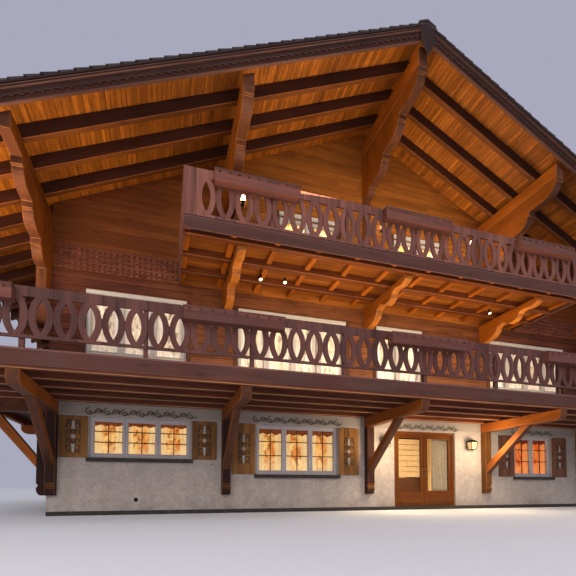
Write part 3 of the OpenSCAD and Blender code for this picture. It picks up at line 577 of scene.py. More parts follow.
def make_stucco():
    """Lime render: trowel swirls, streaks of rain, a damp foot and a darker band above the openings'
    heads.
    """
    wires = Finish("lime_stucco")
    base = tuple(colours().stucco)
    z = wires.split(wires.spot)[2]
    fine = wires.noise(wires.spot, 55.0, 4.0, 0.65)
    swirl = wires.noise(wires.spot, 7.0, 5.0, 0.7, 1.2)
    weather = wires.weather(0.7)
    tint = wires.vary(swirl, 0.35, 0.65, base, 0.8, 1.1)
    tint = wires.mix(wires.times(weather["Patch"], 0.3), tint, shade(base, 0.7))
    streaks = wires.noise(wires.stretch(wires.spot, (2.5, 2.5, 0.6)), 1.0, 4.0, 0.65)
    stain = wires.times(wires.span(streaks, 0.48, 0.75), wires.span(z, 0.2, 2.6, 0.3, 0.15))
    tint = wires.mix(stain, tint, srgb(112, 101, 94))
    rise = wires.plus(z, wires.times(swirl, 0.35))
    foot = wires.times(wires.span(rise, 0.25, 0.6, 0.55, 0.0), weather["Patch"])
    tint = wires.mix(foot, tint, srgb(84, 75, 70))
    tint = wires.mix(wires.times(weather["Speck"], 0.14), tint, srgb(104, 94, 88))
    # Darker above 2.3 m, up to the top of the stucco
    over = wires.times(wires.span(z, 2.3, 2.36), wires.span(swirl, 0.3, 0.6, 0.12, 0.4))
    tint = wires.mix(over, tint, srgb(100, 93, 82))
    height = wires.plus(wires.times(fine, 0.35), swirl)
    wires.give(tint, wires.span(fine, 0.3, 0.7, 0.8, 0.95), Normal=wires.bump(height, 0.008))


def make_stone(name, colour, size):
    """Dressed stone, clouded and full of fine grit."""
    wires = Finish(name)
    grit = wires.noise(wires.spot, size * 6, 4.0, 0.7)
    cloud = wires.noise(wires.spot, size, 4.0, 0.6, 0.5)
    tint = wires.vary(cloud, 0.35, 0.65, colour, 0.65, 1.25)
    tint = wires.mix(wires.span(grit, 0.55, 0.75, 0.0, 0.4), tint, shade(colour, 1.8))
    wires.give(tint, wires.span(grit, 0.3, 0.7, 0.6, 0.85),
               Normal=wires.bump(wires.plus(grit, cloud), 0.004))


def make_paint(name, colour, roughness, wear, metal=0.0):
    """Brushed paint or metal, dull in patches and greyer where hands and rain reach it."""
    wires = Finish(name)
    weather = wires.weather(2.5)
    brush = wires.noise(wires.stretch(wires.spot, (14.0, 14.0, 90.0)), 1.0, 2.0, 0.6)
    tint = wires.vary(brush, 0.3, 0.7, colour, 0.9, 1.08)
    tint = wires.mix(wires.times(weather["Patch"], wear), tint, shade(colour, 0.55))
    tint = wires.mix(wires.times(weather["Speck"], wear * 0.6), tint, shade(colour, 0.4))
    wires.give(tint, wires.span(weather["Patch"], 0.0, 1.0, roughness, roughness + 0.2),
               Metallic=metal, Normal=wires.bump(brush, 0.0008))


def make_glass(name):
    """Thin old glass, wavy and a little smudged."""
    wires = Finish(name)
    smudge = wires.noise(wires.spot, 6.0, 4.0, 0.7, 0.6)
    tint = wires.mix(wires.span(smudge, 0.4, 0.7), (0.96, 0.97, 0.96, 1.0), (0.86, 0.88, 0.88, 1.0))
    wires.give(tint, wires.span(smudge, 0.4, 0.75, 0.0, 0.09), Transmission_Weight=1.0, IOR=1.08,
               Normal=wires.bump(wires.noise(wires.spot, 2.2, 1.0, 0.5), 0.002))


def make_glow(name, colour, strength):
    """Frosted glass of a lamp, or a blind with light behind it."""
    wires = Finish(name)
    cloud = wires.noise(wires.spot, 18.0, 2.0, 0.5)
    tint = wires.vary(cloud, 0.35, 0.65, colour, 0.85, 1.0)
    wires.give(tint, wires.span(cloud, 0.3, 0.7, 0.25, 0.4), Emission_Color=tint,
               Emission_Strength=strength)


def make_cloth(name, colour, strength):
    """Thin woven cloth that a lit room shines through."""
    wires = Finish(name)
    uv = wires.add("ShaderNodeUVMap", uv_map="cloth").outputs[0]
    weave = wires.noise(wires.stretch(uv, (900.0, 260.0, 1.0)), 1.0, 2.0, 0.6)
    drift = wires.noise(wires.stretch(uv, (9.0, 1.2, 1.0)), 1.0, 3.0, 0.55)
    tint = wires.vary(drift, 0.3, 0.7, colour, 0.72, 1.12)
    wires.give(tint, wires.span(weave, 0.3, 0.7, 0.8, 0.95), Emission_Color=tint,
               Emission_Strength=strength, Normal=wires.bump(weave, 0.0006))


def make_room(name, deep, pale, cloth_deep, cloth_pale, strength, drop):
    """A lit room behind a pane. The pane's UV runs over each casement, whose seed is its own."""
    deep, pale, cloth_deep, cloth_pale = (srgb(*tone) for tone in (deep, pale, cloth_deep, cloth_pale))
    wires = Finish(name)
    u, v, _ = wires.split(wires.add("ShaderNodeUVMap", uv_map="pane").outputs[0])
    seed = wires.math("FLOOR", wires.attribute("pane_seed", "Fac"))
    along = wires.plus(u, wires.times(seed, 7.0))
    far = wires.join(along, v, 0.0)
    blot = wires.noise(far, 3.2, 2.0, 0.5, 0.4)
    room = wires.mix(wires.span(blot, 0.35, 0.65), deep, pale)
    things = wires.span(wires.noise(far, 7.0, 2.0, 0.6), 0.5, 0.62, 0.0, 0.8)
    room = wires.mix(things, room, shade(deep, 0.4))
    # Drapes drawn aside by a different amount in each casement
    fold_place = wires.join(wires.times(along, 16.0), wires.times(v, 0.8), 0.0)
    folds = wires.noise(fold_place, 1.0, 2.0, 0.5, 0.6)
    cloth = wires.mix(wires.span(folds, 0.3, 0.7), cloth_deep, cloth_pale)
    aside = wires.span(wires.split(wires.draw(seed, "Color"))[2], 0.0, 1.0, -0.3, 0.3)
    nearest = wires.math("ROUND", wires.plus(u, aside))
    gap = wires.math("ABSOLUTE", wires.math("SUBTRACT", u, nearest))
    room = wires.mix(wires.span(gap, 0.26, 0.3, 1.0, 0.0), room, cloth)
    # A pleated valance with a wavy hem, above drop
    swag = wires.times(wires.math("SINE", wires.times(u, 18.85)), 0.018)
    valance = wires.span(wires.plus(v, swag), drop, drop + 0.01)
    pleat = wires.noise(wires.join(wires.times(u, 40.0), 0.0, seed), 1.0, 1.0)
    pleats = wires.mix(wires.span(pleat, 0.35, 0.65), srgb(70, 34, 16), srgb(134, 76, 40))
    room = wires.mix(valance, room, pleats)
    room = wires.mix(wires.span(v, 0.0, 0.35, 0.6, 0.0), room, cloth_pale)
    if name == "lit_room":
        # The room at the right end of the front has a redder light
        x, y, _ = wires.split(wires.spot)
        east = wires.times(wires.span(x, 4.4, 4.5, 0.0, 0.75), wires.span(y, -6.2, -6.1, 1.0, 0.0))
        room = wires.mix(east, room, wires.mix(1.0, room, srgb(255, 150, 60), "MULTIPLY"))
    glow = wires.mix(1.0, room, tuple(colours().glow), "MULTIPLY")
    wires.give(room, wires.span(blot, 0.3, 0.7, 0.7, 0.9), Emission_Color=glow,
               Emission_Strength=strength)


GREY, DARK = (83, 67, 63), (40, 21, 12)
# Painted shade towards the house's corners, away from the lamps in the middle: where it starts and is
# full, and its tint
BOARD_CORNER_SHADE = (3.2, 6.0, (0.44, 0.4, 0.8, 1.0))
SIDING_CORNER_SHADE = (3.6, 6.4, (0.5, 0.42, 0.6, 1.0))
FRIEZE_CORNER_SHADE = (3.6, 6.4, (0.6, 0.5, 0.62, 1.0))
# Tints towards the right end of the front: on the posts a painted light of the lamps there, on the
# shutters a cooler, darker tint
POST_LAMP_LIGHT = (0.5, 3.9, (4.6, 6.0, 1.0, 1.0))
SHUTTER_EAST = (4.0, 4.2, srgb(200, 190, 255))
# Timbers: name, colour, worn colour, how much is worn, contrast, and other values
TIMBERS = [
    ("wall_boards", "siding", DARK, 0.25, 0.45,
     {"along": "X", "across": ("Z", 1.0, 0.0), "ends": BOARD_CORNER_SHADE}),
    ("gable_boards", "gable", DARK, 0.25, 0.45,
     {"along": "X", "across": ("Z", 1.0, 0.0), "ends": BOARD_CORNER_SHADE}),
    ("siding", "siding", DARK, 0.5, 0.5, {"tone": 0.22, "ends": SIDING_CORNER_SHADE}),
    ("gable_siding", "gable", (83, 39, 14), 0.45, 0.4, {"tone": 0.22, "ends": BOARD_CORNER_SHADE}),
    ("casing", (76, 44, 27), DARK, 0.4, 0.4, {"tone": 0.2}),
    ("floor_beams", (88, 47, 22), DARK, 0.25, 0.45, {"along": "X"}),
    ("soffit", "soffit", (67, 27, 8), 0.6, 0.62,
     {"along": "Y", "across": ("X", UPRIGHT, 0.0), "pitch": 0.1, "tone": 0.28, "fineness": 1.7}),
    ("beam", "beam", (47, 22, 16), 0.55, 0.45, {}),
    # beam_edge, rafter_edge, joist_edge, railing_edge and barge_edge go on the worn bevels: paler than
    # their timbers, for wear and as a painted highlight
    ("beam_edge", (121, 71, 34), DARK, 0.35, 0.45, {}),
    # The rafter finish goes on the rafters' faces that look away from the house, darker than the rest:
    # a painted shade
    ("rafter", (62, 31, 20), (30, 16, 14), 0.6, 0.45, {}),
    ("rafter_edge", (121, 63, 24), DARK, 0.35, 0.45, {}),
    ("rafter_under", (106, 57, 21), DARK, 0.5, 0.45, {}),
    ("bracket", "bracket", (67, 30, 11), 0.5, 0.45, {}),
    # The front finishes go on the faces that look outward: on brackets, braces and purlins a darker
    # copy as painted shade, on the consoles a lighter one as painted light
    ("bracket_front", (90, 50, 29), (55, 30, 21), 0.6, 0.45, {}),
    ("console_front", (156, 90, 28), (55, 32, 19), 0.6, 0.45, {}),
    ("joist", (104, 54, 34), (30, 14, 12), 0.5, 0.45, {}),
    ("joist_edge", (173, 121, 78), DARK, 0.25, 0.45, {}),
    # The posts turn orange towards the right: a painted light of the lamps by the door
    ("post", (48, 22, 14), (32, 16, 12), 0.35, 0.45, {"east": POST_LAMP_LIGHT}),
    ("frieze", (122, 76, 56), DARK, 0.4, 0.4, {"tone": 0.25, "ends": FRIEZE_CORNER_SHADE}),
    ("deck", (67, 35, 22), GREY, 0.25, 0.45, {"along": "X", "across": ("Y", 1.0, 0.0), "pitch": 0.14}),
    ("gallery_deck", (128, 70, 22), DARK, 0.35, 0.45,
     {"along": "X", "across": ("Y", 1.0, 0.0), "pitch": 0.14}),
    ("railing_boards", "railing", GREY, 0.45, 0.5,
     {"along": "Z", "across": ("X", 1.0, 0.18745), "pitch": 0.3749, "seam": 0.007}),
    ("gallery_boards", (130, 79, 66), GREY, 0.45, 0.5,
     {"along": "Z", "across": ("X", 1.0, 0.0), "pitch": 0.38154, "seam": 0.007}),
    ("railing_flat", "railing", GREY, 0.45, 0.4, {"along": "Z"}),
    ("rail_cap", "railing", GREY, 0.45, 0.4, {"along": "X"}),
    ("rail_cap_side", "railing", GREY, 0.45, 0.4, {"along": "Y"}),
    ("railing_edge", (111, 73, 65), GREY, 0.4, 0.3, {"along": "X"}),
    ("railing_edge_grain", (111, 73, 65), GREY, 0.4, 0.3, {}),
    # The fascias are darker than the railings over them: a painted shade
    ("fascia", (86, 50, 40), GREY, 0.5, 0.4, {"along": "X"}),
    ("fascia_side", (78, 44, 35), GREY, 0.5, 0.35, {"along": "Y"}),
    ("flower_box", (112, 66, 55), GREY, 0.35, 0.35, {}),
    ("barge", (52, 30, 25), (34, 22, 21), 0.5, 0.4, {}),
    ("barge_edge", (93, 60, 48), (55, 34, 29), 0.5, 0.35, {}),
    ("shingle_wood", (67, 58, 57), (44, 42, 42), 0.6, 0.45, {"tone": 0.5, "fineness": 1.6}),
    ("ridge_grain", (62, 53, 52), GREY, 0.6, 0.45, {"along": "Y"}),
    ("ridge_weathered", (62, 53, 52), GREY, 0.6, 0.45, {}),
    ("shutter_boards", "shutter", DARK, 0.3, 0.45, {"along": "Z"}),
    ("shutter_wood", "shutter", DARK, 0.35, 0.4, {"east": SHUTTER_EAST}),
    ("door_wood", "door", (73, 35, 11), 0.35, 0.45, {}),
    ("door_flat", "door", (73, 35, 11), 0.35, 0.45, {"along": "Z"}),
]
# Paints and metals: name, colour, roughness, wear and, for a metal, how metallic
PAINTS = [
    ("frame_paint", "frame", 0.42, 0.2),
    # White paint of the upper casements, also on the casings' head boards as a painted light of the
    # lamps over them
    ("white_frame_paint", (164, 157, 155), 0.42, 0.15),
    ("muntin_paint", (62, 50, 44), 0.45, 0.25),
    ("white_ornament", (167, 165, 162), 0.55, 0.25),
    ("dark_ornament", (25, 16, 12), 0.55, 0.2),
    ("scroll_paint", (83, 76, 67), 0.8, 0.4),
    ("black_iron", (21, 19, 19), 0.38, 0.3, 0.7),
    ("brass", (142, 106, 55), 0.28, 0.25, 1.0),
]
GLOWS = [
    ("lamp_glass", (190, 160, 112), 0.9),
    ("spot_glass", (255, 224, 176), 9.0),
    ("lit_blind", (228, 180, 118), 0.34),
]
# Lit rooms: name, deep and pale colours of the room and of its drapes, strength, and where the
# valance starts, in shares of the pane's height
ROOMS = [
    ("lit_room", (214, 134, 54), (252, 224, 172), (214, 190, 156), (246, 234, 212), 0.8, 0.85),
    ("lit_shelves", (96, 60, 32), (236, 210, 160), (128, 84, 48), (214, 180, 124), 0.6, 1.2),
    ("lit_drapes", (196, 174, 160), (238, 226, 214), (178, 166, 168), (236, 230, 230), 0.3, 1.2),
    ("lit_doors", (236, 190, 120), (255, 240, 206), (240, 220, 190), (255, 250, 240), 1.3, 1.2),
]
# The finish that each CAD node is given
CAD_FINISHES = {
    "lime_stucco": "ground_wall_front_left ground_wall_front_right ground_wall_left ground_wall_right"
    " ground_wall_back door_lintel_wall",
    "foundation_stone": "ground_slab",
    "wall_boards": "timber_wall_front timber_wall_left timber_wall_right timber_wall_back knee_walls",
    "gable_boards": "gable_wall_front gable_wall_back",
    "floor_beams": "first_floor attic_floor purlins rafters_left rafters_right ridge_brackets"
    " mid_brackets eaves_brackets balcony_posts balcony_beams balcony_braces lower_joists"
    " upper_consoles upper_beams upper_joists",
    "soffit": "roof_boards_left roof_boards_right",
    "ridge_grain": "roof_left roof_right ridge_cap",
    "barge": "bargeboards_left bargeboards_right apex_plates",
    "deck": "lower_deck_front lower_decks_side",
    "gallery_deck": "upper_deck",
    "railing_flat": "lower_fascia lower_railing_front lower_railings_side lower_railing_ends"
    " upper_fascia upper_railing_front upper_railings_side",
    "fascia": "flower_boxes",
    "frame_paint": "window_frames",
    "pane_glass": "window_glass door_glass_left door_glass_right",
    "dressed_sill": "window_sills",
    "shutter_boards": "shutters",
    "black_iron": "wall_lanterns",
    "door_flat": "door_frame door_leaf_left door_leaf_right",
}


class CHALET_OT_finishes(bpy.types.Operator):
    """Make the finishes and give one to every CAD node"""
    bl_idname = "chalet.finishes"
    bl_label = "Finishes"

    def execute(self, context):
        make_grain_effect()
        make_board_effect()
        make_weather_effect()
        make_stucco()
        make_stone("foundation_stone", srgb(55, 48, 45), 9.0)
        make_stone("dressed_sill", srgb(55, 47, 42), 14.0)
        for name, colour, worn, amount, contrast, others in TIMBERS:
            make_timber(name, setting_or_srgb(colour), srgb(*worn), amount, contrast, **others)
        for name, colour, *values in PAINTS:
            make_paint(name, setting_or_srgb(colour), *values)
        for name, colour, strength in GLOWS:
            make_glow(name, srgb(*colour), strength)
        for values in ROOMS:
            make_room(*values)
        make_glass("pane_glass")
        make_cloth("curtain_cloth", srgb(188, 168, 138), 0.16)
        for finish, names in CAD_FINISHES.items():
            for name in names.split():
                for slot in NODES[name].material_slots:
                    slot.material = bpy.data.materials[finish]
        return {"FINISHED"}


SHARP = math.radians(25)
# Dressed timbers: piece, CAD nodes, finishes of the sides, the edges and the faces that look outward,
# and the slot. The edges' finish is paler, for wear and as a painted highlight; where the outward
# one differs, it is a painted shade, on the consoles a painted light
DRESSED = [
    ("roof_beams_dressed", "purlins", "bracket beam_edge bracket_front", "beam_timber"),
    ("rafters_dressed", "rafters_left rafters_right", "rafter_under rafter_edge rafter",
     "rafter_timber"),
    ("roof_brackets_carved", "ridge_brackets mid_brackets eaves_brackets",
     "bracket beam_edge bracket_front", "beam_timber"),
    ("gallery_consoles_carved", "upper_consoles", "bracket beam_edge console_front", "beam_timber"),
    ("gallery_beams_dressed", "upper_beams", "beam beam_edge beam", "beam_timber"),
    ("gallery_joists_dressed", "upper_joists", "bracket bracket bracket", "beam_timber"),
    ("balcony_posts_carved", "balcony_posts", "post beam_edge post", "beam_timber"),
    ("balcony_braces_dressed", "balcony_braces balcony_beams", "bracket beam_edge bracket_front",
     "beam_timber"),
    ("balcony_joists_dressed", "lower_joists", "joist joist_edge joist", "floor_timber"),
    ("door_frame_dressed", "door_frame", "door_wood door_wood door_wood", "door_timber"),
]
# Railings: piece, CAD nodes, finish of the boards, and the heights between which they are pierced
RAILINGS = [
    ("lower_railings_carved", "lower_railing_front lower_railings_side lower_railing_ends",
     "railing_boards", 3.11, 3.86),
    ("gallery_railings_carved", "upper_railing_front upper_railings_side", "gallery_boards",
     5.94, 6.78),
]
FASCIAS = ("lower_fascia", "upper_fascia")
# Beads on the fascias: half width, front, height, and where the side ones end
FASCIA_BEADS = [(9.8, -9.26, 2.91, 6.5), (5.2, -8.92, 5.9, -6.5)]
# How far a bead stands out, and how far it reaches below and above its height
BEAD_OUT, BEAD_UNDER, BEAD_OVER = 0.03, 0.012, 0.028


def faces_outward(face):
    """True on a face of a timber that looks away from the wall it stands out from."""
    at = face.calc_center_median()
    if abs(at.x) > HALF_W + 0.3 and abs(at.y) < HALF_D:
        return abs(face.normal.y) < 0.5
    return abs(face.normal.x) < 0.5


def runs_along_y(face):
    """True on the rails and fascias of a balcony's sides."""
    at = face.calc_center_median()
    return abs(at.x) > 9.7 and abs(at.y) < 9.2 if at.z < 5 else abs(at.x) > 5.1


def worn_and_highlit_bevel(bm, width, slot=1):
    """Takes the sharp edges off, and gives the new faces the edge finish, paler for wear and as a
    painted highlight.
    """
    sharp = [edge for edge in bm.edges
             if len(edge.link_faces) == 2 and edge.calc_face_angle(0) > SHARP]
    for face in soften(bm, sharp, width):
        face.material_index = slot


class CHALET_OT_timbers(bpy.types.Operator):
    """Dress the beams, rafters, brackets, posts and braces with grain, worn edges that are paler as a
    painted highlight, and painted shade and light on faces that look outward
    """
    bl_idname = "chalet.timbers"
    bl_label = "Timbers"

    def execute(self, context):
        for count, (name, nodes, finishes, slot) in enumerate(DRESSED):
            bm = node_copy(*nodes.split())
            lay_grain(bm, count)
            for face in bm.faces:
                # The rafters' faces that look away from the house take the darker rafter finish, a
                # painted shade
                if name == "rafters_dressed":
                    face.material_index = 2 * (face.normal.y * face.calc_center_median().y > 0.9)
                # Other faces that look outward take the third finish: a darker copy as painted shade,
                # on the consoles a lighter one as painted light
                elif faces_outward(face):
                    face.material_index = 2
            worn_and_highlit_bevel(bm, sizes().timber_edge)
            piece(bm, name, finishes, slot, nodes.split())
        return {"FINISHED"}


class CHALET_OT_railings(bpy.types.Operator):
    """Dress the pierced railings, their rails and the fascias under them"""
    bl_idname = "chalet.railings"
    bl_label = "Railings"

    def execute(self, context):
        for name, nodes, boards, low, high in RAILINGS:
            bm = node_copy(*nodes.split())
            for face in bm.faces:
                inside = low < face.calc_center_median().z < high
                face.material_index = 0 if inside else 1 + runs_along_y(face)
            worn_and_highlit_bevel(bm, 0.005, 3)
            piece(bm, name, boards + " rail_cap rail_cap_side railing_edge", "railing_timber",
                  nodes.split())
        bm = node_copy(*FASCIAS)
        for face in bm.faces:
            face.material_index = int(runs_along_y(face))
        worn_and_highlit_bevel(bm, 0.008, 2)
        piece(bm, "fascias_dressed", "fascia fascia_side railing_edge", "railing_timber", FASCIAS)
        bm = bmesh.new()
        for x, y, z, end in FASCIA_BEADS:
            low, high = z - BEAD_UNDER, z + BEAD_OVER
            add_box(bm, (-x, y, low), (x, y + BEAD_OUT, high))
            for left, right in ((-x, BEAD_OUT - x), (x - BEAD_OUT, x)):
                add_box(bm, (left, y + BEAD_OUT, low), (right, end, high))
        soften(bm, bm.edges[:], 0.008, 2)
        lay_grain(bm, 30)
        piece(bm, "fascia_beads", "railing_edge_grain", "railing_timber")
        return {"FINISHED"}


def row_spans(x0, x1, z0, z1, openings):
    """The parts of one board row that the openings leave, as x and z limits."""
    at = x0
    for opening in sorted(openings):
        if opening.sill >= z1 - 1e-4 or opening.head <= z0 + 1e-4:
            continue
        if opening.left > at:
            yield at, opening.left, z0, z1
        if opening.sill > z0 + 0.01:
            yield opening.left, opening.right, z0, opening.sill
        if opening.head < z1 - 0.01:
            yield opening.left, opening.right, opening.head, z1
        at = opening.right
    if at < x1:
        yield at, x1, z0, z1


# Longest board that is left in one, and the lengths of those cut from a longer run
LONGEST, CUT_LENGTHS = 5.2, (2.4, 4.6)


def add_siding(bm, side, reach, z0, z1, draw):
    """Rows of boards on one wall, each lapping a little and cut into lengths."""
    place = on_wall(side)
    thick = sizes().siding_thick
    rows = round((z1 - z0) / sizes().siding_pitch)
    step = (z1 - z0) / rows
    for row in range(rows):
        low, high = z0 + row * step, z0 + (row + 1) * step
        for left, right, foot, top in row_spans(-reach, reach, low, high, OPENINGS[side]):
            ends = [left]
            while right - ends[-1] > LONGEST:
                ends.append(ends[-1] + draw.uniform(*CUT_LENGTHS))
            ends.append(right)
            for start, end in zip(ends, ends[1:]):
                made = add_box(bm, (start + 0.0015, -thick * draw.uniform(0.9, 1.0), foot + 0.001),
                               (end - 0.0015, 0.01, top - 0.003))
                upper = [vert for vert in made if vert.co.z > (foot + top) / 2 and vert.co.y < 0]
                shift(bm, upper, y=thick * 0.45)
                move(bm, made, place)


# The carved frieze: rows, how far it stops from a corner, a scale's mean width
FRIEZE_ROWS, FRIEZE_STOP, SCALE_WIDTH = 5, 0.12, 0.13


class CHALET_OT_siding(bpy.types.Operator):
    """Board the timber walls and the gables, with a carved frieze and casings"""
    bl_idname = "chalet.siding"
    bl_label = "Siding"

    def execute(self, context):
        draw = random.Random(sizes().seed)
        bm = bmesh.new()
        for side, reach in (("front", HALF_W), ("right", HALF_D), ("back", HALF_W), ("left", HALF_D)):
            top = FRIEZE_LOW if side in ("front", "back") else EAVES_BEAM_UNDER
            add_siding(bm, side, reach, FIRST_Z, top, draw)
        outer = [edge for edge in bm.edges if len(edge.link_faces) == 2 and edge.calc_length() > 0.25
                 and abs((edge.verts[0].co - edge.verts[1].co).normalized().z) < 0.5]
        soften(bm, outer, 0.006)
        lay_grain(bm, 11)
        piece(bm, "first_storey_siding", "siding", "timber_wall")

        bm = bmesh.new()
        for side in ("front", "back"):
            add_siding(bm, side, HALF_W, FRIEZE_LOW, 10.9, draw)
        for turn in (1, -1):
            made = bmesh.ops.bisect_plane(
                bm, geom=bm.verts[:] + bm.edges[:] + bm.faces[:], dist=1e-5,
                plane_co=(0, 0, BOARD_UNDER - 0.002), plane_no=(turn * SLOPE, 0, 1), clear_outer=True)
            cut = [item for item in made["geom_cut"] if isinstance(item, bmesh.types.BMEdge)]
            bmesh.ops.holes_fill(bm, edges=cut, sides=0)
        lay_grain(bm, 12)
        piece(bm, "gable_siding", "gable_siding", "gable_timber")
        self.make_frieze()
        self.make_casings()
        return {"FINISHED"}

    def make_frieze(self):
        """Carved rows over the first storey: rounded scales between thin beads."""
        bm = bmesh.new()
        thick = sizes().siding_thick
        step = (FRIEZE_HIGH - FRIEZE_LOW) / FRIEZE_ROWS
        stop = HALF_W - FRIEZE_STOP
        for side in ("front", "back"):
            place = on_wall(side)
            # In front it stops at the gallery
            ends = [-stop, -GALLERY_X, GALLERY_X, stop] if side == "front" else [-stop, stop]
            for row in range(FRIEZE_ROWS):
                low = FRIEZE_LOW + row * step
                for left, right in zip(ends[::2], ends[1::2]):
                    bead = add_box(bm, (left, -thick - 0.028, low + step * 0.72),
                                   (right, -thick + 0.012, low + step * 0.98))
                    move(bm, bead, place)
                    self.add_scales(bm, left, right, low, step, thick, place)
        soften(bm, [edge for edge in bm.edges if edge.calc_length() > 1.0], 0.006)
        lay_grain(bm, 13)
        piece(bm, "frieze_carved", "frieze", "timber_wall")

    def add_scales(self, bm, left, right, low, step, thick, place):
        """One row of scales: the first is shaped, and the others are its copies."""
        count = round((right - left) / SCALE_WIDTH)
        width = (right - left) / count
        first = bmesh.ops.create_circle(bm, cap_ends=True, radius=width * 0.47, segments=8)["verts"]
        bmesh.ops.rotate(bm, verts=first, cent=(0, 0, 0), matrix=rotated(90, "X").to_3x3())
        bmesh.ops.scale(bm, verts=first, vec=(1, 1, step * 0.75 / (width * 0.94)))
        far = verts_in(bmesh.ops.extrude_face_region(bm, geom=faces_of(first))["geom"])
        shift(bm, far, y=-0.03)
        bmesh.ops.scale(bm, verts=far, vec=(0.7, 1, 0.7))
        scale = first + far
        bmesh.ops.recalc_face_normals(bm, faces=faces_of(scale))
        shift(bm, scale, left + width / 2, -thick + 0.008, low + step * 0.36)
        move(bm, scale, place)
        along = place.to_3x3() @ Vector((width, 0, 0))
        source = scale + edges_of(scale) + faces_of(scale)
        for index in range(1, count):
            copy = bmesh.ops.duplicate(bm, geom=source)["geom"]
            shift(bm, verts_in(copy), *(along * index))

    def make_casings(self):
        """Boards round every opening in the timber walls, with a sill under a window."""
        bm = bmesh.new()
        wide = sizes().casing_width
        for side, openings in OPENINGS.items():
            for opening in openings:
                if opening.kind == "ground":
                    continue
                left, right, sill = opening.left, opening.right, opening.sill
                foot = 0 if is_balcony_door(opening) else wide
                # The head board takes the white finish: a painted light of the lamps over the window
                made = add_ring(bm, left - wide, right + wide, sill - foot, opening.head + wide * 0.9,
                                (wide, wide * 0.9, foot), -0.045, 0.02, 1)
                if foot:
                    made += add_box(bm, (left - wide - 0.03, -0.085, sill - 0.045),
                                    (right + wide + 0.03, 0.0, sill))
                move(bm, made, on_wall(side))
        soften(bm, bm.edges[:], 0.007)
        lay_grain(bm, 14)
        piece(bm, "window_casings", "casing white_frame_paint", "timber_wall")


# How far a casement's faces stand behind the wall's face
LEAF_FRONT, LEAF_BACK = FRAME_SET - 0.012, FRAME_SET + 0.066
# Widths of the outer frame, of a balcony door's stiles, and of the gap round a casement
OUTER, DOOR_STILE, LEAF_GAP = 0.03, 0.062, 0.003
# Heights of the levels of the thin bars, in shares of the pane's
BAR_LEVELS = (0.36, 0.69)


def add_leaf(bm, left, right, sill, head, kind):
    """One casement: stepped frame, a drip rail and, in the ground storey, thin bars."""
    rail = 0.052 if kind == "ground" else 0.062
    add_ring(bm, left, right, sill, head, (rail, rail, rail * 1.25), LEAF_FRONT, LEAF_BACK)
    inner = (left + rail, right - rail, sill + rail * 1.25, head - rail)
    add_ring(bm, *inner, (0.014,) * 3, LEAF_FRONT + 0.022, LEAF_BACK)
    bar = sizes().muntin / 2
    xa, xb, za, zb = inner
    bars = []
    if kind == "ground":
        middle = (xa + xb) / 2
        bars.append((middle - bar, za, middle + bar, zb))
        for share in BAR_LEVELS:
            level = za + (zb - za) * share
            bars.append((xa, level - bar, xb, level + bar))
    for x0, z0, x1, z1 in bars:
        add_box(bm, (x0, LEAF_FRONT + 0.03, z0), (x1, LEAF_FRONT + 0.056, z1), 1)
    add_box(bm, (left + 0.01, LEAF_FRONT - 0.022, sill + rail * 0.9),
            (right - 0.01, LEAF_FRONT + 0.004, sill + rail * 1.15))
    return inner


def add_door_foot(bm, left, right, foot, rise):
    """The lower part of a balcony door's leaf: a raised panel between a rail and two stiles."""
    made = add_box(bm, (left + 0.06, FRAME_SET + 0.02, foot + 0.12),
                   (right - 0.06, FRAME_SET + 0.05, foot + rise))
    outer = min(faces_of(made), key=lambda face: face.calc_center_median().y)
    bmesh.ops.inset_region(bm, faces=[outer], thickness=0.05, depth=0.018)
    add_box(bm, (left, LEAF_FRONT, foot), (right, LEAF_BACK, foot + 0.14))
    for edge in (left, right - DOOR_STILE):
        add_box(bm, (edge, LEAF_FRONT, foot + 0.14), (edge + DOOR_STILE, LEAF_BACK, foot + rise))


def lay_pane(bm, faces, low, high, number):
    """Spreads the pane's UV over the faces between two corners, and gives them a number."""
    pane = bm.loops.layers.uv["pane"]
    seed = bm.faces.layers.float["pane_seed"]
    for face in faces:
        face[seed] = number + 0.5
        for loop in face.loops:
            at = loop.vert.co
            loop[pane].uv = ((at.x - low[0]) / (high[0] - low[0]), (at.z - low[2]) / (high[2] - low[2]))


def pane_mesh():
    bm = bmesh.new()
    bm.loops.layers.uv.new("pane")
    bm.faces.layers.float.new("pane_seed")
    return bm


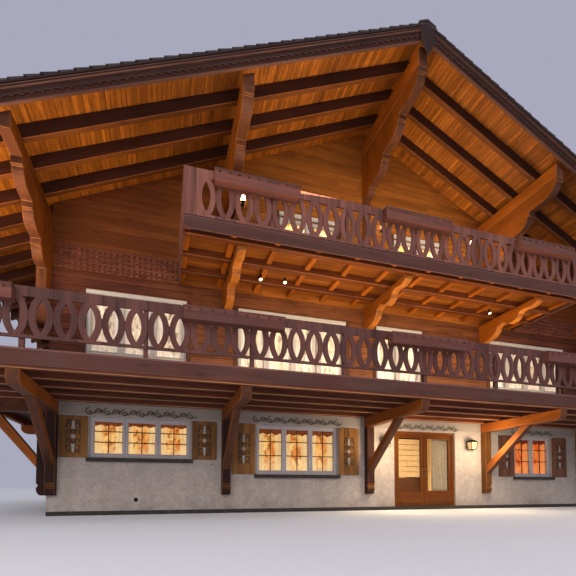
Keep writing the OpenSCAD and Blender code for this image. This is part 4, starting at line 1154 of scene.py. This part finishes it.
class CHALET_OT_windows(bpy.types.Operator):
    """Make the windows: outer frames, casements with thin bars, and the lit rooms behind the glass"""
    bl_idname = "chalet.windows"
    bl_label = "Windows"

    def execute(self, context):
        bm = bmesh.new()
        rooms = pane_mesh()
        count = 0
        for side, openings in OPENINGS.items():
            place = on_wall(side)
            for opening in openings:
                before = len(bm.verts)
                for room in self.add_window(bm, opening):
                    low = (room[0] - 0.04, ROOM_SET, room[2] - 0.04)
                    high = (room[1] + 0.04, ROOM_SET + 0.01, room[3] + 0.04)
                    made = add_box(rooms, low, high)
                    count += 1
                    lay_pane(rooms, faces_of(made), low, high, count)
                    paint(made, ("ground", "upper", "gable").index(opening.kind))
                    move(rooms, made, place)
                bm.verts.ensure_lookup_table()
                made = bm.verts[before:]
                if opening.kind != "ground":
                    for face in faces_of(made):
                        face.material_index = face.material_index or 2
                move(bm, made, place)
        soften(bm, bm.edges[:], 0.003)
        piece(bm, "window_casements", "frame_paint muntin_paint white_frame_paint", "white_frame",
              ("window_frames",))
        piece(rooms, "lit_rooms", "lit_room lit_drapes lit_doors", "white_frame")
        return {"FINISHED"}

    def add_window(self, bm, opening):
        """An outer frame with its casements. Gives the limits of each casement's pane."""
        left, right, leaves, sill, head, kind = opening
        add_ring(bm, left, right, sill, head, (OUTER,) * 3, FRAME_SET, FRAME_SET + FRAME_T)
        width = (right - left - 2 * OUTER) / leaves
        for index in range(leaves):
            xa = left + OUTER + index * width + LEAF_GAP
            xb = xa + width - 2 * LEAF_GAP
            foot = sill + OUTER + LEAF_GAP
            if is_balcony_door(opening):
                rise = 0.2 if kind == "gable" else 0.62
                add_door_foot(bm, xa, xb, foot, rise)
                foot += rise
            yield add_leaf(bm, xa, xb, foot, head - OUTER - LEAF_GAP, kind)


class CHALET_OT_shingles(bpy.types.Operator):
    """Lay the shingles over both sides of the roof, and dress its ridge"""
    bl_idname = "chalet.shingles"
    bl_label = "Shingles"

    def execute(self, context):
        draw = random.Random(sizes().seed + 50)
        run = ROOF_X * UPRIGHT
        rows = round(run / sizes().shingle_course)
        course = run / rows
        verge = ROOF_Y - 0.002
        for side, name in ((-1, "roof_left"), (1, "roof_right")):
            bm = bmesh.new()
            for row in range(rows):
                y = -verge
                end = (row + 1) * course
                start = max(0.0, end - course * 1.18)
                while y < ROOF_Y - 0.01:
                    wide = min(sizes().shingle_width * draw.uniform(0.6, 1.45), verge - y)
                    if ROOF_Y - y - wide < 0.1:
                        wide = verge - y
                    tip = end - (0.0 if row == rows - 1 else draw.uniform(0.0, 0.03))
                    butt = draw.uniform(0.046, 0.058)
                    made = add_box(bm, (start, y + 0.003, 0.0005), (tip, y + wide - 0.003, butt))
                    upper = [vert for vert in made
                             if vert.co.x < (start + tip) / 2 and vert.co.z > 0.02]
                    shift(bm, upper, z=0.024 - butt)
                    y += wide
            down = Vector((side, 0, -SLOPE)).normalized()
            out = Vector((side * SLOPE, 0, 1)).normalized()
            move(bm, bm.verts, Matrix((
                (down.x, 0, out.x, 0), (0, 1, 0, 0), (down.z, 0, out.z, COVERING_UNDER), (0, 0, 0, 1))))
            bmesh.ops.recalc_face_normals(bm, faces=bm.faces)
            lay_box_grain(bm, 51)
            piece(bm, name.replace("roof", "shingles"), "shingle_wood", "shingles", (name,))
        bm = node_copy("ridge_cap")
        lay_grain(bm, 52)
        worn_and_highlit_bevel(bm, 0.006, 0)
        piece(bm, "ridge_boards", "ridge_weathered", "ridge_timber", ("ridge_cap",))
        return {"FINISHED"}


# Gap between a window and its shutter, the shutter's width and number of boards
SHUTTER_GAP, SHUTTER_W, SHUTTER_BOARDS = 0.03, 0.6, 4
# Half of the painted drop: half width and height over the shutter's middle
DROP = [(0.0, 0.17), (0.03, 0.178), (0.044, 0.205), (0.038, 0.25), (0.02, 0.33), (0.0, 0.388)]
DISC_RADIUS, DISC_SIDES = 0.046, 16
DISC = [(DISC_RADIUS * math.cos(angle), DISC_RADIUS * math.sin(angle))
        for angle in (2 * math.pi * step / DISC_SIDES for step in range(DISC_SIDES))]
# Curls beside the drop: height over the shutter's middle and radius
CURLS = [(0.1, 0.056), (0.25, 0.066), (0.35, 0.044)]


def arc_band(mid, level, radius, width, start, turn, steps=9):
    """Outline of a curved band, given in degrees where it starts and how far it turns."""
    angles = [math.radians(start + turn * step / steps) for step in range(steps + 1)]
    outer, inner = ([(mid + reach * math.cos(angle), level + reach * math.sin(angle))
                     for angle in angles] for reach in (radius, radius - width))
    return outer + inner[::-1]


class CHALET_OT_shutters(bpy.types.Operator):
    """Make the boarded shutters with their painted drops and curls"""
    bl_idname = "chalet.shutters"
    bl_label = "Shutters"

    def execute(self, context):
        boards, marks = bmesh.new(), bmesh.new()
        reach = SHUTTER_GAP + SHUTTER_W / 2
        for side, openings in OPENINGS.items():
            place = on_wall(side)
            for opening in openings:
                if opening.kind == "ground":
                    for x in (opening.left - reach, opening.right + reach):
                        self.add_boards(boards, x, opening.sill, opening.head, place)
                        level = (opening.sill + opening.head) / 2
                        self.add_marks(marks, place @ placed(x, -0.0395, level))
        soften(boards, boards.edges[:], 0.004)
        lay_grain(boards, 60)
        piece(boards, "shutter_boards", "shutter_wood", "shutter_timber", ("shutters",))
        piece(marks, "shutter_ornaments", "white_ornament dark_ornament", "shutter_timber")
        return {"FINISHED"}

    def add_boards(self, bm, x, low, high, place):
        wide = SHUTTER_W / SHUTTER_BOARDS
        for index in range(SHUTTER_BOARDS):
            left = x - SHUTTER_W / 2 + index * wide
            made = add_box(bm, (left + 0.0015, -0.038, low), (left + wide - 0.0015, -0.002, high))
            move(bm, made, place)

    def add_marks(self, bm, at):
        """A disc with a drop and curls over it, and the same upside down under it."""
        for turn in (1, -1):
            outline = [(wide, turn * high) for wide, high in DROP] \
                + [(-wide, turn * high) for wide, high in DROP[-2:0:-1]]
            add_plate(bm, outline, 0.004, at)
            for across in (-1, 1):
                for low, radius in CURLS:
                    curl = arc_band(across * 0.09, turn * low, radius, 0.024, 90 - 150 * across,
                                    300 * across)
                    add_plate(bm, curl, 0.003, at, 1)
            add_plate(bm, arc_band(0, turn * 0.112, 0.045, 0.02, 0, turn * 180), 0.0035, at, 1)
        add_plate(bm, DISC, 0.004, at)


# Scrolls over the openings: mean width of one, its height over the ground, how far a band of them
# reaches past a window's sides, and how far the door's stands to the right
SCROLL_WIDTH, SCROLL_Z, SCROLL_PAST, SCROLL_DOOR = 0.19, 2.405, 0.1, 0.1


class CHALET_OT_scrolls(bpy.types.Operator):
    """Paint the faded bands of scrolls over the ground storey's front openings"""
    bl_idname = "chalet.scrolls"
    bl_label = "Scrolls"

    def execute(self, context):
        bm = bmesh.new()
        bands = [(opening.left - SCROLL_PAST, opening.right + SCROLL_PAST)
                 for opening in OPENINGS["front"] if opening.kind == "ground"]
        for left, right in [*bands, (DOOR_LEFT + SCROLL_DOOR, DOOR_RIGHT + SCROLL_DOOR)]:
            count = round((right - left) / SCROLL_WIDTH)
            step = (right - left) / count
            for index in range(count):
                at = on_wall("front") @ placed(left + (index + 0.5) * step, -0.003, SCROLL_Z)
                turn = 1 if index % 2 else -1
                for outline in (
                    arc_band(0, -0.012 * turn, 0.09, 0.028, -30, turn * 235),
                    arc_band(0, 0.022 * turn, 0.054, 0.024, 150, turn * 250),
                    arc_band(0.088, 0.0, 0.046, 0.022, 200, -turn * 190, 6),
                    arc_band(0.0, 0.022 * turn, 0.016, 0.0155, 0, 330, 7),
                ):
                    add_plate(bm, outline, 0.004, at)
        piece(bm, "scroll_bands", "scroll_paint", "stucco")
        return {"FINISHED"}


# Where the front wall, the door's outer face, the blind and the curtain stand in y
WALL_FACE, DOOR_FACE, BLIND_Y, CURTAIN_Y = -6.5, -6.415, -6.3795, -6.3585
# The front door's leaves: limits in x, middle of the handle, and which way its lever points
DOOR_LEAVES = [("left", 0.921, 1.888, 1.838, -1), ("right", 1.902, 2.869, 1.952, 1)]
# Width of a stile, and the limits in height of the glass and of the panel in the bottom rail
STILE, GLASS_LOW, GLASS_HIGH, PANEL_LOW, PANEL_HIGH = 0.11, 0.528, 2.099, 0.15, 0.48
# The blind's sides, its first slat's foot, a slat's height, and where the slats end
BLIND_LEFT, BLIND_RIGHT, SLAT_LOW, SLAT, SLAT_HIGH = 1.035, 1.774, 0.94, 0.16, 2.095
# The curtain's limits, its columns, rows and folds, and half their depth
CURTAIN = (2.2, 2.75, 0.545, 2.09)
COLUMNS, ROWS, FOLDS, FOLD_DEPTH = 120, 14, 10, 0.014
# Profiles of the turned pieces: radius and height from one end on the axis to the other
PROFILES = {
    "lever_neck": [(0, 0.0), (0.012, 0.0), (0.012, 0.05), (0.009, 0.058), (0, 0.058)],
    "lever": [(0, -0.012), (0.008, -0.01), (0.007, 0.08), (0.009, 0.108), (0.006, 0.118), (0, 0.12)],
    "keyhole": [(0, 0.0), (0.011, 0.0), (0.01, 0.006), (0, 0.007)],
    "lantern_foot": [(0, 0.0), (0.02, 0.006), (0.05, 0.014), (0.118, 0.024), (0.118, 0.036),
                     (0, 0.036)],
    "lantern_cap": [(0, 0.0), (0.155, 0.0), (0.162, 0.012), (0.13, 0.036), (0.085, 0.062),
                    (0.05, 0.082), (0.018, 0.09), (0.012, 0.1), (0, 0.103)],
    "lantern_knob": [(0, -0.045), (0.008, -0.04), (0.014, -0.028), (0.006, -0.014), (0.012, 0.0),
                     (0, 0.004)],
    "lantern_glass": [(0, 0.038), (0.1, 0.038), (0.136, 0.243), (0, 0.243)],
    "lamp_arm": [(0, 0.0), (0.05, 0.0), (0.045, 0.02), (0.015, 0.026), (0.012, 0.08), (0, 0.082)],
    "lamp_dish": [(0, 0.0), (0.05, 0.002), (0.056, 0.012), (0, 0.014)],
    "lamp_shade": [(0, 0.0), (0.04, 0.004), (0.062, 0.04), (0.066, 0.1), (0.05, 0.14), (0, 0.142)],
    "spot_arm": [(0, 0.01), (0.03, 0.01), (0.034, -0.02), (0.012, -0.026), (0.012, -0.06),
                 (0, -0.062)],
    "spot_head": [(0, 0.05), (0.028, 0.044), (0.05, -0.03), (0.052, -0.05), (0.044, -0.05),
                  (0.04, -0.02), (0, -0.02)],
    "spot_lens": [(0, -0.021), (0.038, -0.022), (0.034, -0.036), (0, -0.042)],
    "vent": [(0, 0.002), (0.028, 0.002), (0.03, 0.012), (0.046, 0.012), (0.048, 0.0), (0, -0.004)],
    "hook": [(0, 0.0), (0.016, 0.0), (0.014, 0.006), (0.006, 0.01), (0.006, 0.05), (0.012, 0.056),
             (0, 0.06)],
}


def facing_out(x, y, z):
    """The place of a turned piece that stands out from the front, its foot on the wall."""
    return placed(x, y, z) @ rotated(90, "X")


class CHALET_OT_door(bpy.types.Operator):
    """Dress the front door: mouldings, panels, a slatted blind, a curtain and handles"""
    bl_idname = "chalet.door"
    bl_label = "Door"

    def execute(self, context):
        for leaf, left, right, handle, turn in DOOR_LEAVES:
            body = "door_" + leaf
            left, right = left + STILE, right - STILE
            bm = bmesh.new()
            self.add_mouldings(bm, left, right)
            self.add_panel(bm, left, right)
            soften(bm, bm.edges[:], 0.003)
            lay_grain(bm, 70)
            piece(bm, "door_mouldings_" + leaf, "door_wood", "door_timber", body=body)
            bm = bmesh.new()
            self.add_handle(bm, handle, turn)
            piece(bm, "door_handle_" + leaf, "brass", "lantern_metal", body=body, smooth_angle=40)
        self.make_blind()
        self.make_lit_shelves()
        self.make_curtain()
        return {"FINISHED"}

    def add_mouldings(self, bm, left, right):
        """A moulding of two steps round the glass, on the outer face."""
        for grow, thick in ((-0.02, 0.012), (-0.006, 0.006)):
            add_ring(bm, left + grow, right - grow, GLASS_LOW + grow, GLASS_HIGH - grow, (0.02,) * 3,
                     DOOR_FACE - thick, DOOR_FACE + 0.001)

    def add_panel(self, bm, left, right):
        """A raised panel in the bottom rail."""
        made = add_box(bm, (left, DOOR_FACE - 0.006, PANEL_LOW), (right, DOOR_FACE + 0.001, PANEL_HIGH))
        outer = min(faces_of(made), key=lambda face: face.calc_center_median().y)
        bmesh.ops.inset_region(bm, faces=[outer], thickness=0.045, depth=-0.004)
        bmesh.ops.inset_region(bm, faces=[outer], thickness=0.02, depth=0.01)

    def add_handle(self, bm, x, turn):
        """A long plate with a keyhole boss and a lever."""
        plate = add_box(bm, (x - 0.02, DOOR_FACE - 0.004, 0.98), (x + 0.02, DOOR_FACE, 1.22))
        soften(bm, edges_of(plate), 0.0015)
        add_turned(bm, PROFILES["lever_neck"], facing_out(x, DOOR_FACE, 1.14))
        lever = placed(x, DOOR_FACE - 0.05, 1.14) @ rotated(90 * turn, "Y")
        add_turned(bm, PROFILES["lever"], lever, 12)
        add_turned(bm, PROFILES["keyhole"], facing_out(x, DOOR_FACE - 0.003, 1.04))

    def make_blind(self):
        """Wide slats behind the left leaf's glass, with a plain board below them."""
        bm = bmesh.new()
        level = SLAT_LOW
        while level < 2.0:
            top = min(level + SLAT, SLAT_HIGH)
            add_box(bm, (BLIND_LEFT, BLIND_Y, level + 0.005),
                    (BLIND_RIGHT, BLIND_Y + 0.008, top - 0.005))
            level += SLAT
        add_box(bm, (BLIND_LEFT, BLIND_Y, 0.532), (BLIND_RIGHT, BLIND_Y + 0.01, SLAT_LOW - 0.01), 1)
        soften(bm, bm.edges[:], 0.002)
        lay_grain(bm, 71)
        piece(bm, "door_blind", "lit_blind door_wood", "door_timber", body="door_left")

    def make_lit_shelves(self):
        """The lit shelves that show beside the curtain, on a thin flat board."""
        low, high = (2.006, -6.3425, 0.52), (2.765, -6.3405, 2.107)
        bm = pane_mesh()
        lay_pane(bm, faces_of(add_box(bm, low, high)), low, high, 77)
        piece(bm, "door_roller_blind", "lit_shelves", "door_timber", body="door_right")

    def make_curtain(self):
        """A gathered curtain behind the right leaf's glass."""
        left, right, low, high = CURTAIN
        bm = bmesh.new()
        bmesh.ops.create_grid(bm, x_segments=COLUMNS, y_segments=ROWS, size=0.5)
        uv = bm.loops.layers.uv.new("cloth")
        for face in bm.faces:
            for loop in face.loops:
                loop[uv].uv = (loop.vert.co.x + 0.5, loop.vert.co.y + 0.5)
        for vert in bm.verts:
            along, up = vert.co.x + 0.5, vert.co.y + 0.5
            wave = math.sin(2 * math.pi * FOLDS * along + 0.6 * math.sin(7 * along))
            vert.co = (left + (right - left) * along, CURTAIN_Y + FOLD_DEPTH * wave,
                       low + (high - low) * up)
        for face in bm.faces:
            if face.normal.y > 0:
                face.normal_flip()
        line = [Vector((vert.co.x, vert.co.y)) for vert in sorted(bm.verts, key=lambda item: item.co.x)
                if abs(vert.co.z - low) < 1e-4]
        width = sum((there - here).length for here, there in zip(line, line[1:]))
        made = piece(bm, "door_curtain", "curtain_cloth", "white_frame", body="door_right",
                     smooth_angle=80)
        hem = made.modifiers.new("cloth thickness", "SOLIDIFY")
        hem.thickness, hem.offset = 0.0016, 0.0


# Middle of each wall lantern, the heights of its foot and its cap, and half its cage's width
LANTERN_XS, LANTERN_Y, LANTERN_LOW, LANTERN_CAP, CAGE = (0.4775, 3.4175), -6.675, 1.755, 2.0, 0.105
# Half the width of the bars at its corners, and how far their feet draw in
LANTERN_BAR, LANTERN_TAPER = 0.007, 0.22


class CHALET_OT_lanterns(bpy.types.Operator):
    """Make the wall lanterns by the door, with glass between black bars"""
    bl_idname = "chalet.lanterns"
    bl_label = "Lanterns"

    def execute(self, context):
        iron, glass = bmesh.new(), bmesh.new()
        for x in LANTERN_XS:
            self.add_bars(iron, x)
            foot = placed(x, LANTERN_Y, LANTERN_LOW)
            cap = placed(x, LANTERN_Y, LANTERN_CAP)
            add_turned(iron, PROFILES["lantern_foot"], foot @ rotated(45, "Z"), 4)
            add_turned(iron, PROFILES["lantern_cap"], cap @ rotated(45, "Z"), 4)
            add_turned(iron, PROFILES["lantern_knob"], foot, 10)
            self.add_bracket(iron, x)
            add_turned(glass, PROFILES["lantern_glass"], foot @ rotated(45, "Z"), 4)
        piece(iron, "lantern_irons", "black_iron", "lantern_metal", ("wall_lanterns",))
        piece(glass, "lantern_glasses", "lamp_glass", "lantern_metal")
        return {"FINISHED"}

    def add_bars(self, bm, x):
        for dx in (-CAGE, CAGE):
            for dy in (-CAGE, CAGE):
                at, y = x + dx, LANTERN_Y + dy
                post = add_box(bm, (at - LANTERN_BAR, y - LANTERN_BAR, LANTERN_LOW + 0.03),
                               (at + LANTERN_BAR, y + LANTERN_BAR, LANTERN_CAP))
                feet = [vert for vert in post if vert.co.z < LANTERN_CAP - 0.1]
                shift(bm, feet, -dx * LANTERN_TAPER, -dy * LANTERN_TAPER)

    def add_bracket(self, bm, x):
        """A plate on the wall, two arms and two scrolls between them."""
        plate = add_box(bm, (x - 0.045, WALL_FACE - 0.02, 1.84), (x + 0.045, WALL_FACE - 0.001, 2.06))
        soften(bm, edges_of(plate), 0.006)
        for low, thick in ((2.035, 0.022), (1.9, 0.016)):
            add_box(bm, (x - 0.011, LANTERN_Y, low), (x + 0.011, WALL_FACE - 0.015, low + thick))
        for radius, start in ((0.055, 20), (0.032, 200)):
            scroll = arc_band(0, 0, radius, 0.01, start, 250)
            add_plate(bm, scroll, 0.014, placed(x - 0.007, -6.575, 1.965) @ rotated(90, "Z"))


# Flower boxes: middles, half length, front, back, underside, top
BOX_ROWS = [((0, -4.25, 4.25, -8.82, 8.82), 0.95, -9.43, -9.23, 3.67, 3.92),
            ((0, -3.75, 3.75), 0.875, -9.12, -8.92, 6.59, 6.84)]
# Thickness of their boards and of their pale edge, width of a hole, and number of holes
BOX_BOARD, BOX_EDGE, HOLE, HOLES = 0.024, 0.018, 0.042, 9


class CHALET_OT_flower_boxes(bpy.types.Operator):
    """Make the flower boxes: boards with a row of square holes under a pale edge"""
    bl_idname = "chalet.flower_boxes"
    bl_label = "Flower boxes"

    def execute(self, context):
        bm = bmesh.new()
        for xs, half, front, back, low, high in BOX_ROWS:
            for x in xs:
                self.add_flower_box(bm, x - half, x + half, front, back, low, high)
        lay_grain(bm, 80)
        soften(bm, bm.edges[:], 0.003)
        piece(bm, "flower_boxes_boarded", "flower_box railing_edge_grain dark_ornament", "box_timber",
              ("flower_boxes",))
        return {"FINISHED"}

    def add_flower_box(self, bm, left, right, front, back, low, high):
        hole_low, rim = high - 0.085, high - BOX_EDGE
        hole_high = hole_low + HOLE
        step = (right - left) / HOLES
        mids = [left + (index + 0.5) * step for index in range(HOLES)]
        ends = [left, *(x + half for x in mids for half in (-HOLE / 2, HOLE / 2)), right]
        for y in (front, back - BOX_BOARD):
            add_box(bm, (left, y, low), (right, y + BOX_BOARD, hole_low))
            add_box(bm, (left, y, hole_high), (right, y + BOX_BOARD, rim))
            for start, end in zip(ends[::2], ends[1::2]):
                add_box(bm, (start, y, hole_low), (end, y + BOX_BOARD, hole_high))
        near, far = front + BOX_BOARD, back - BOX_BOARD
        for x in (left, right - BOX_BOARD):
            add_box(bm, (x, near, low), (x + BOX_BOARD, far, rim))
        inner_left, inner_right = left + BOX_BOARD, right - BOX_BOARD
        add_box(bm, (inner_left, near, low), (inner_right, far, low + BOX_BOARD))
        add_box(bm, (inner_left, near, low + 0.08), (inner_right, far, low + 0.15), 2)
        for y in (front - 0.008, far - 0.004):
            add_box(bm, (left - 0.008, y, rim), (right + 0.008, y + BOX_BOARD + 0.012, high), 1)
        for start, end in ((left - 0.008, inner_left), (inner_right, right + 0.008)):
            add_box(bm, (start, near + 0.004, rim), (end, far - 0.004, high), 1)


# Boards along a verge: where they start and end in x, the depths under the covering between which
# they lie, where they stand in y, their thickness and finish. The last two line the fly rafter
VERGE_BOARDS = [
    (0.19, ROOF_X - 0.02, 0.0, 0.034, 9.4605, 0.018, 0),
    (0.19, ROOF_X - 0.02, 0.05, 0.066, 9.4605, 0.01, 1),
    (0.19, ROOF_X - 0.02, 0.098, 0.122, 9.4605, 0.014, 1),
    # The fly rafter's lining takes the rafters' darker finish, their painted shade
    (0.0, ROOF_X - 0.03, 0.16, 0.28, 9.365, 0.053, 2),
    (0.0, ROOF_X - 0.03, 0.28, 0.3, 9.365, 0.053, 1),
]
VERGES = ("bargeboards_left", "bargeboards_right", "apex_plates")


class CHALET_OT_verges(bpy.types.Operator):
    """Dress the bargeboards: their edges, worn and paler as a painted highlight, stepped strips and
    apex plates
    """
    bl_idname = "chalet.verges"
    bl_label = "Verges"

    def execute(self, context):
        bm = node_copy(*VERGES)
        worn_and_highlit_bevel(bm, 0.004)
        for end_turn in (rotated(180, "Z"), Matrix()):
            for side in (-1, 1):
                for x0, x1, start, end, y, thick, slot in VERGE_BOARDS:
                    outline = [(side * x, COVERING_UNDER - 0.001 - SLOPE * x - depth * UPRIGHT)
                               for x, depth in ((x0, start), (x1, start), (x1, end), (x0, end))]
                    add_plate(bm, outline, thick, end_turn @ placed(0, y, 0), slot)
        lay_grain(bm, 90)
        piece(bm, "bargeboards_dressed", "barge barge_edge rafter", "barge_timber", VERGES)
        return {"FINISHED"}


# Lamps under the gable: x and height on the wall; spots under the gallery: x and y
WALL_LAMPS = [(-3.6, 8.05), (-0.68, 8.1), (0.5, 8.1), (3.64, 8.15)]
SPOTS = [(-3.32, -7.43), (-2.72, -7.46), (3.4, -7.49)]
SPOT_Z = 5.74


class CHALET_OT_fittings(bpy.types.Operator):
    """Fix the small lamps of the gable and the gallery, and the vent of the ground storey"""
    bl_idname = "chalet.fittings"
    bl_label = "Fittings"

    def execute(self, context):
        iron, glow = bmesh.new(), bmesh.new()
        for x, level in WALL_LAMPS:
            shade_y = WALL_FACE - 0.11
            add_turned(iron, PROFILES["lamp_arm"], facing_out(x, WALL_FACE - 0.027, level))
            add_turned(iron, PROFILES["lamp_dish"], placed(x, shade_y, level + 0.015))
            add_turned(glow, PROFILES["lamp_shade"], placed(x, shade_y, level + 0.03))
        for x, y in SPOTS:
            head = placed(x, y, SPOT_Z - 0.08) @ rotated(-30, "X")
            add_turned(iron, PROFILES["spot_arm"], placed(x, y, SPOT_Z))
            add_turned(iron, PROFILES["spot_head"], head, 16)
            add_turned(glow, PROFILES["spot_lens"], head, 16)
        piece(iron, "lamp_fittings", "black_iron", "lantern_metal", smooth_angle=40)
        piece(glow, "lamp_shades", "spot_glass", "lantern_metal", smooth_angle=50)
        bm = bmesh.new()
        add_turned(bm, PROFILES["vent"], facing_out(-6.11, WALL_FACE, 0.35), 20)
        add_turned(bm, PROFILES["hook"], facing_out(-4.36, WALL_FACE, 1.22), 12)
        piece(bm, "wall_vent_and_hook", "black_iron", "lantern_metal", smooth_angle=40)
        return {"FINISHED"}


CAMERA_PLACE = (-5.537, -16.895, 0.642)
CAMERA_LENS, CAMERA_SHIFT = 25.74, 0.315
CAMERA_PITCH, CAMERA_YAW = 2.5, 17.075
FLOOR_RADIUS, CAMERA_REACH = 400, 1000.0
WORLD_LIGHT = 0.6
# Lamps: name, place, aim, width and height, power, colour
LAMPS = [
    ("front_light", (-10.0, -38.0, 18.0), (0.0, -6.0, 4.0), (18.0, 18.0), 4400.0, (1.0, 0.97, 0.97)),
    ("low_light", (-10.0, -21.0, 0.8), (0.0, -7.0, 10.0), (9.0, 9.0), 640.0, (1.0, 0.88, 0.7)),
    ("gable_light", (0.2, -8.4, 6.9), (0.0, -7.6, 10.0), (9.0, 0.8), 215.0, (1.0, 0.8, 0.52)),
    ("eaves_light", (-8.9, -8.8, 4.3), (-8.9, -8.4, 8.0), (3.0, 1.0), 260.0, (1.0, 0.8, 0.52)),
    ("gallery_light", (0.6, -8.7, 3.4), (0.6, -6.7, 5.0), (12.0, 1.0), 430.0, (1.0, 0.78, 0.5)),
]
LANTERN_POWER, LANTERN_COLOUR = 110.0, (1.0, 0.8, 0.5)


class CHALET_OT_stage(bpy.types.Operator):
    """Make the floor, the sky, the lamps and the camera"""
    bl_idname = "chalet.stage"
    bl_label = "Stage"

    def execute(self, context):
        self.make_floor()
        self.make_sky(context.scene)
        for name, place, aim, size, power, colour in LAMPS:
            lamp = self.add_lamp(name, "AREA", place, power, colour)
            lamp.data.shape = "ELLIPSE"
            lamp.data.size, lamp.data.size_y = size
            lamp.rotation_euler = (Vector(aim) - Vector(place)).to_track_quat("-Z", "Y").to_euler()
        for x in LANTERN_XS:
            lamp = self.add_lamp("lantern_glow", "POINT", (x, LANTERN_Y - 0.75, 1.75), LANTERN_POWER,
                                 LANTERN_COLOUR)
            lamp.data.shadow_soft_size = 0.25
        data = bpy.data.cameras.new("camera")
        data.sensor_width, data.lens, data.shift_y = 36.0, CAMERA_LENS, CAMERA_SHIFT
        data.clip_end = CAMERA_REACH
        camera = self.add_object("camera", data)
        camera.location = CAMERA_PLACE
        camera.rotation_euler = (math.radians(90 + CAMERA_PITCH), 0.0, math.radians(-CAMERA_YAW))
        context.scene.camera = camera
        context.scene.view_settings.view_transform = "Standard"
        return {"FINISHED"}

    def add_object(self, name, data):
        made = bpy.data.objects.new(name, data)
        bpy.context.scene.collection.objects.link(made)
        return made

    def add_lamp(self, name, kind, place, power, colour):
        data = bpy.data.lights.new(name, kind)
        data.energy, data.color = power, colour
        lamp = self.add_object(name, data)
        lamp.location = place
        lamp.visible_camera = lamp.visible_glossy = False
        return lamp

    def make_floor(self):
        """A wide pale floor, a little uneven in tone."""
        bm = bmesh.new()
        bmesh.ops.create_circle(bm, cap_ends=True, radius=FLOOR_RADIUS, segments=64)
        mesh = bpy.data.meshes.new("floor")
        bm.to_mesh(mesh)
        bm.free()
        wires = Finish("pale_floor")
        drift = wires.noise(wires.spot, 0.08, 3.0, 0.5)
        tint = wires.mix(wires.span(drift, 0.3, 0.7), srgb(236, 236, 244), srgb(244, 244, 250))
        wires.give(tint, 0.95, Specular_IOR_Level=0.1)
        mesh.materials.append(bpy.data.materials["pale_floor"])
        self.add_object("floor", mesh)

    def make_sky(self, scene):
        """An even sky that lights the house, and a darker one that is seen and reflected."""
        scene.world = bpy.data.worlds.new("pale_sky")
        scene.world.use_nodes = True
        wires = Wiring(scene.world.node_tree)
        wires.tree.nodes.clear()
        rays = wires.add("ShaderNodeLightPath").outputs
        mirrored = wires.math("MAXIMUM", rays["Is Glossy Ray"], rays["Is Transmission Ray"])
        seen = wires.math("MAXIMUM", rays["Is Camera Ray"], mirrored)
        light = wires.feed("ShaderNodeBackground", (srgb(236, 238, 246), WORLD_LIGHT))
        shown = wires.feed("ShaderNodeBackground", (srgb(168, 169, 188), 1.0))
        wires.add("ShaderNodeOutputWorld", {
            "Surface": wires.feed("ShaderNodeMixShader", (seen, light, shown))})


OPERATORS = [
    CHALET_OT_finishes,
    CHALET_OT_timbers,
    CHALET_OT_railings,
    CHALET_OT_siding,
    CHALET_OT_windows,
    CHALET_OT_shingles,
    CHALET_OT_shutters,
    CHALET_OT_scrolls,
    CHALET_OT_door,
    CHALET_OT_lanterns,
    CHALET_OT_flower_boxes,
    CHALET_OT_verges,
    CHALET_OT_fittings,
    CHALET_OT_stage,
]


class CHALET_PT_panel(bpy.types.Panel):
    """Shows the chalet's sizes and colours, and a button for each step that makes its pieces"""
    bl_label = "Chalet"
    bl_idname = "CHALET_PT_panel"
    bl_space_type = "VIEW_3D"
    bl_region_type = "UI"
    bl_category = "Chalet"

    def draw(self, context):
        for group in (sizes(), colours()):
            for name in group.__annotations__:
                self.layout.prop(group, name)
        for operator in OPERATORS:
            self.layout.operator(operator.bl_idname)


CLASSES = [ChaletSizes, ChaletColours, *OPERATORS, CHALET_PT_panel]


def register():
    for entry in CLASSES:
        bpy.utils.register_class(entry)
    bpy.types.Scene.chalet_sizes = bpy.props.PointerProperty(type=ChaletSizes)
    bpy.types.Scene.chalet_colours = bpy.props.PointerProperty(type=ChaletColours)


def unregister():
    del bpy.types.Scene.chalet_colours
    del bpy.types.Scene.chalet_sizes
    for entry in reversed(CLASSES):
        bpy.utils.unregister_class(entry)


def main():
    register()
    for operator in OPERATORS:
        group, name = operator.bl_idname.split(".")
        getattr(getattr(bpy.ops, group), name)()


if __name__ == "__main__":
    main()
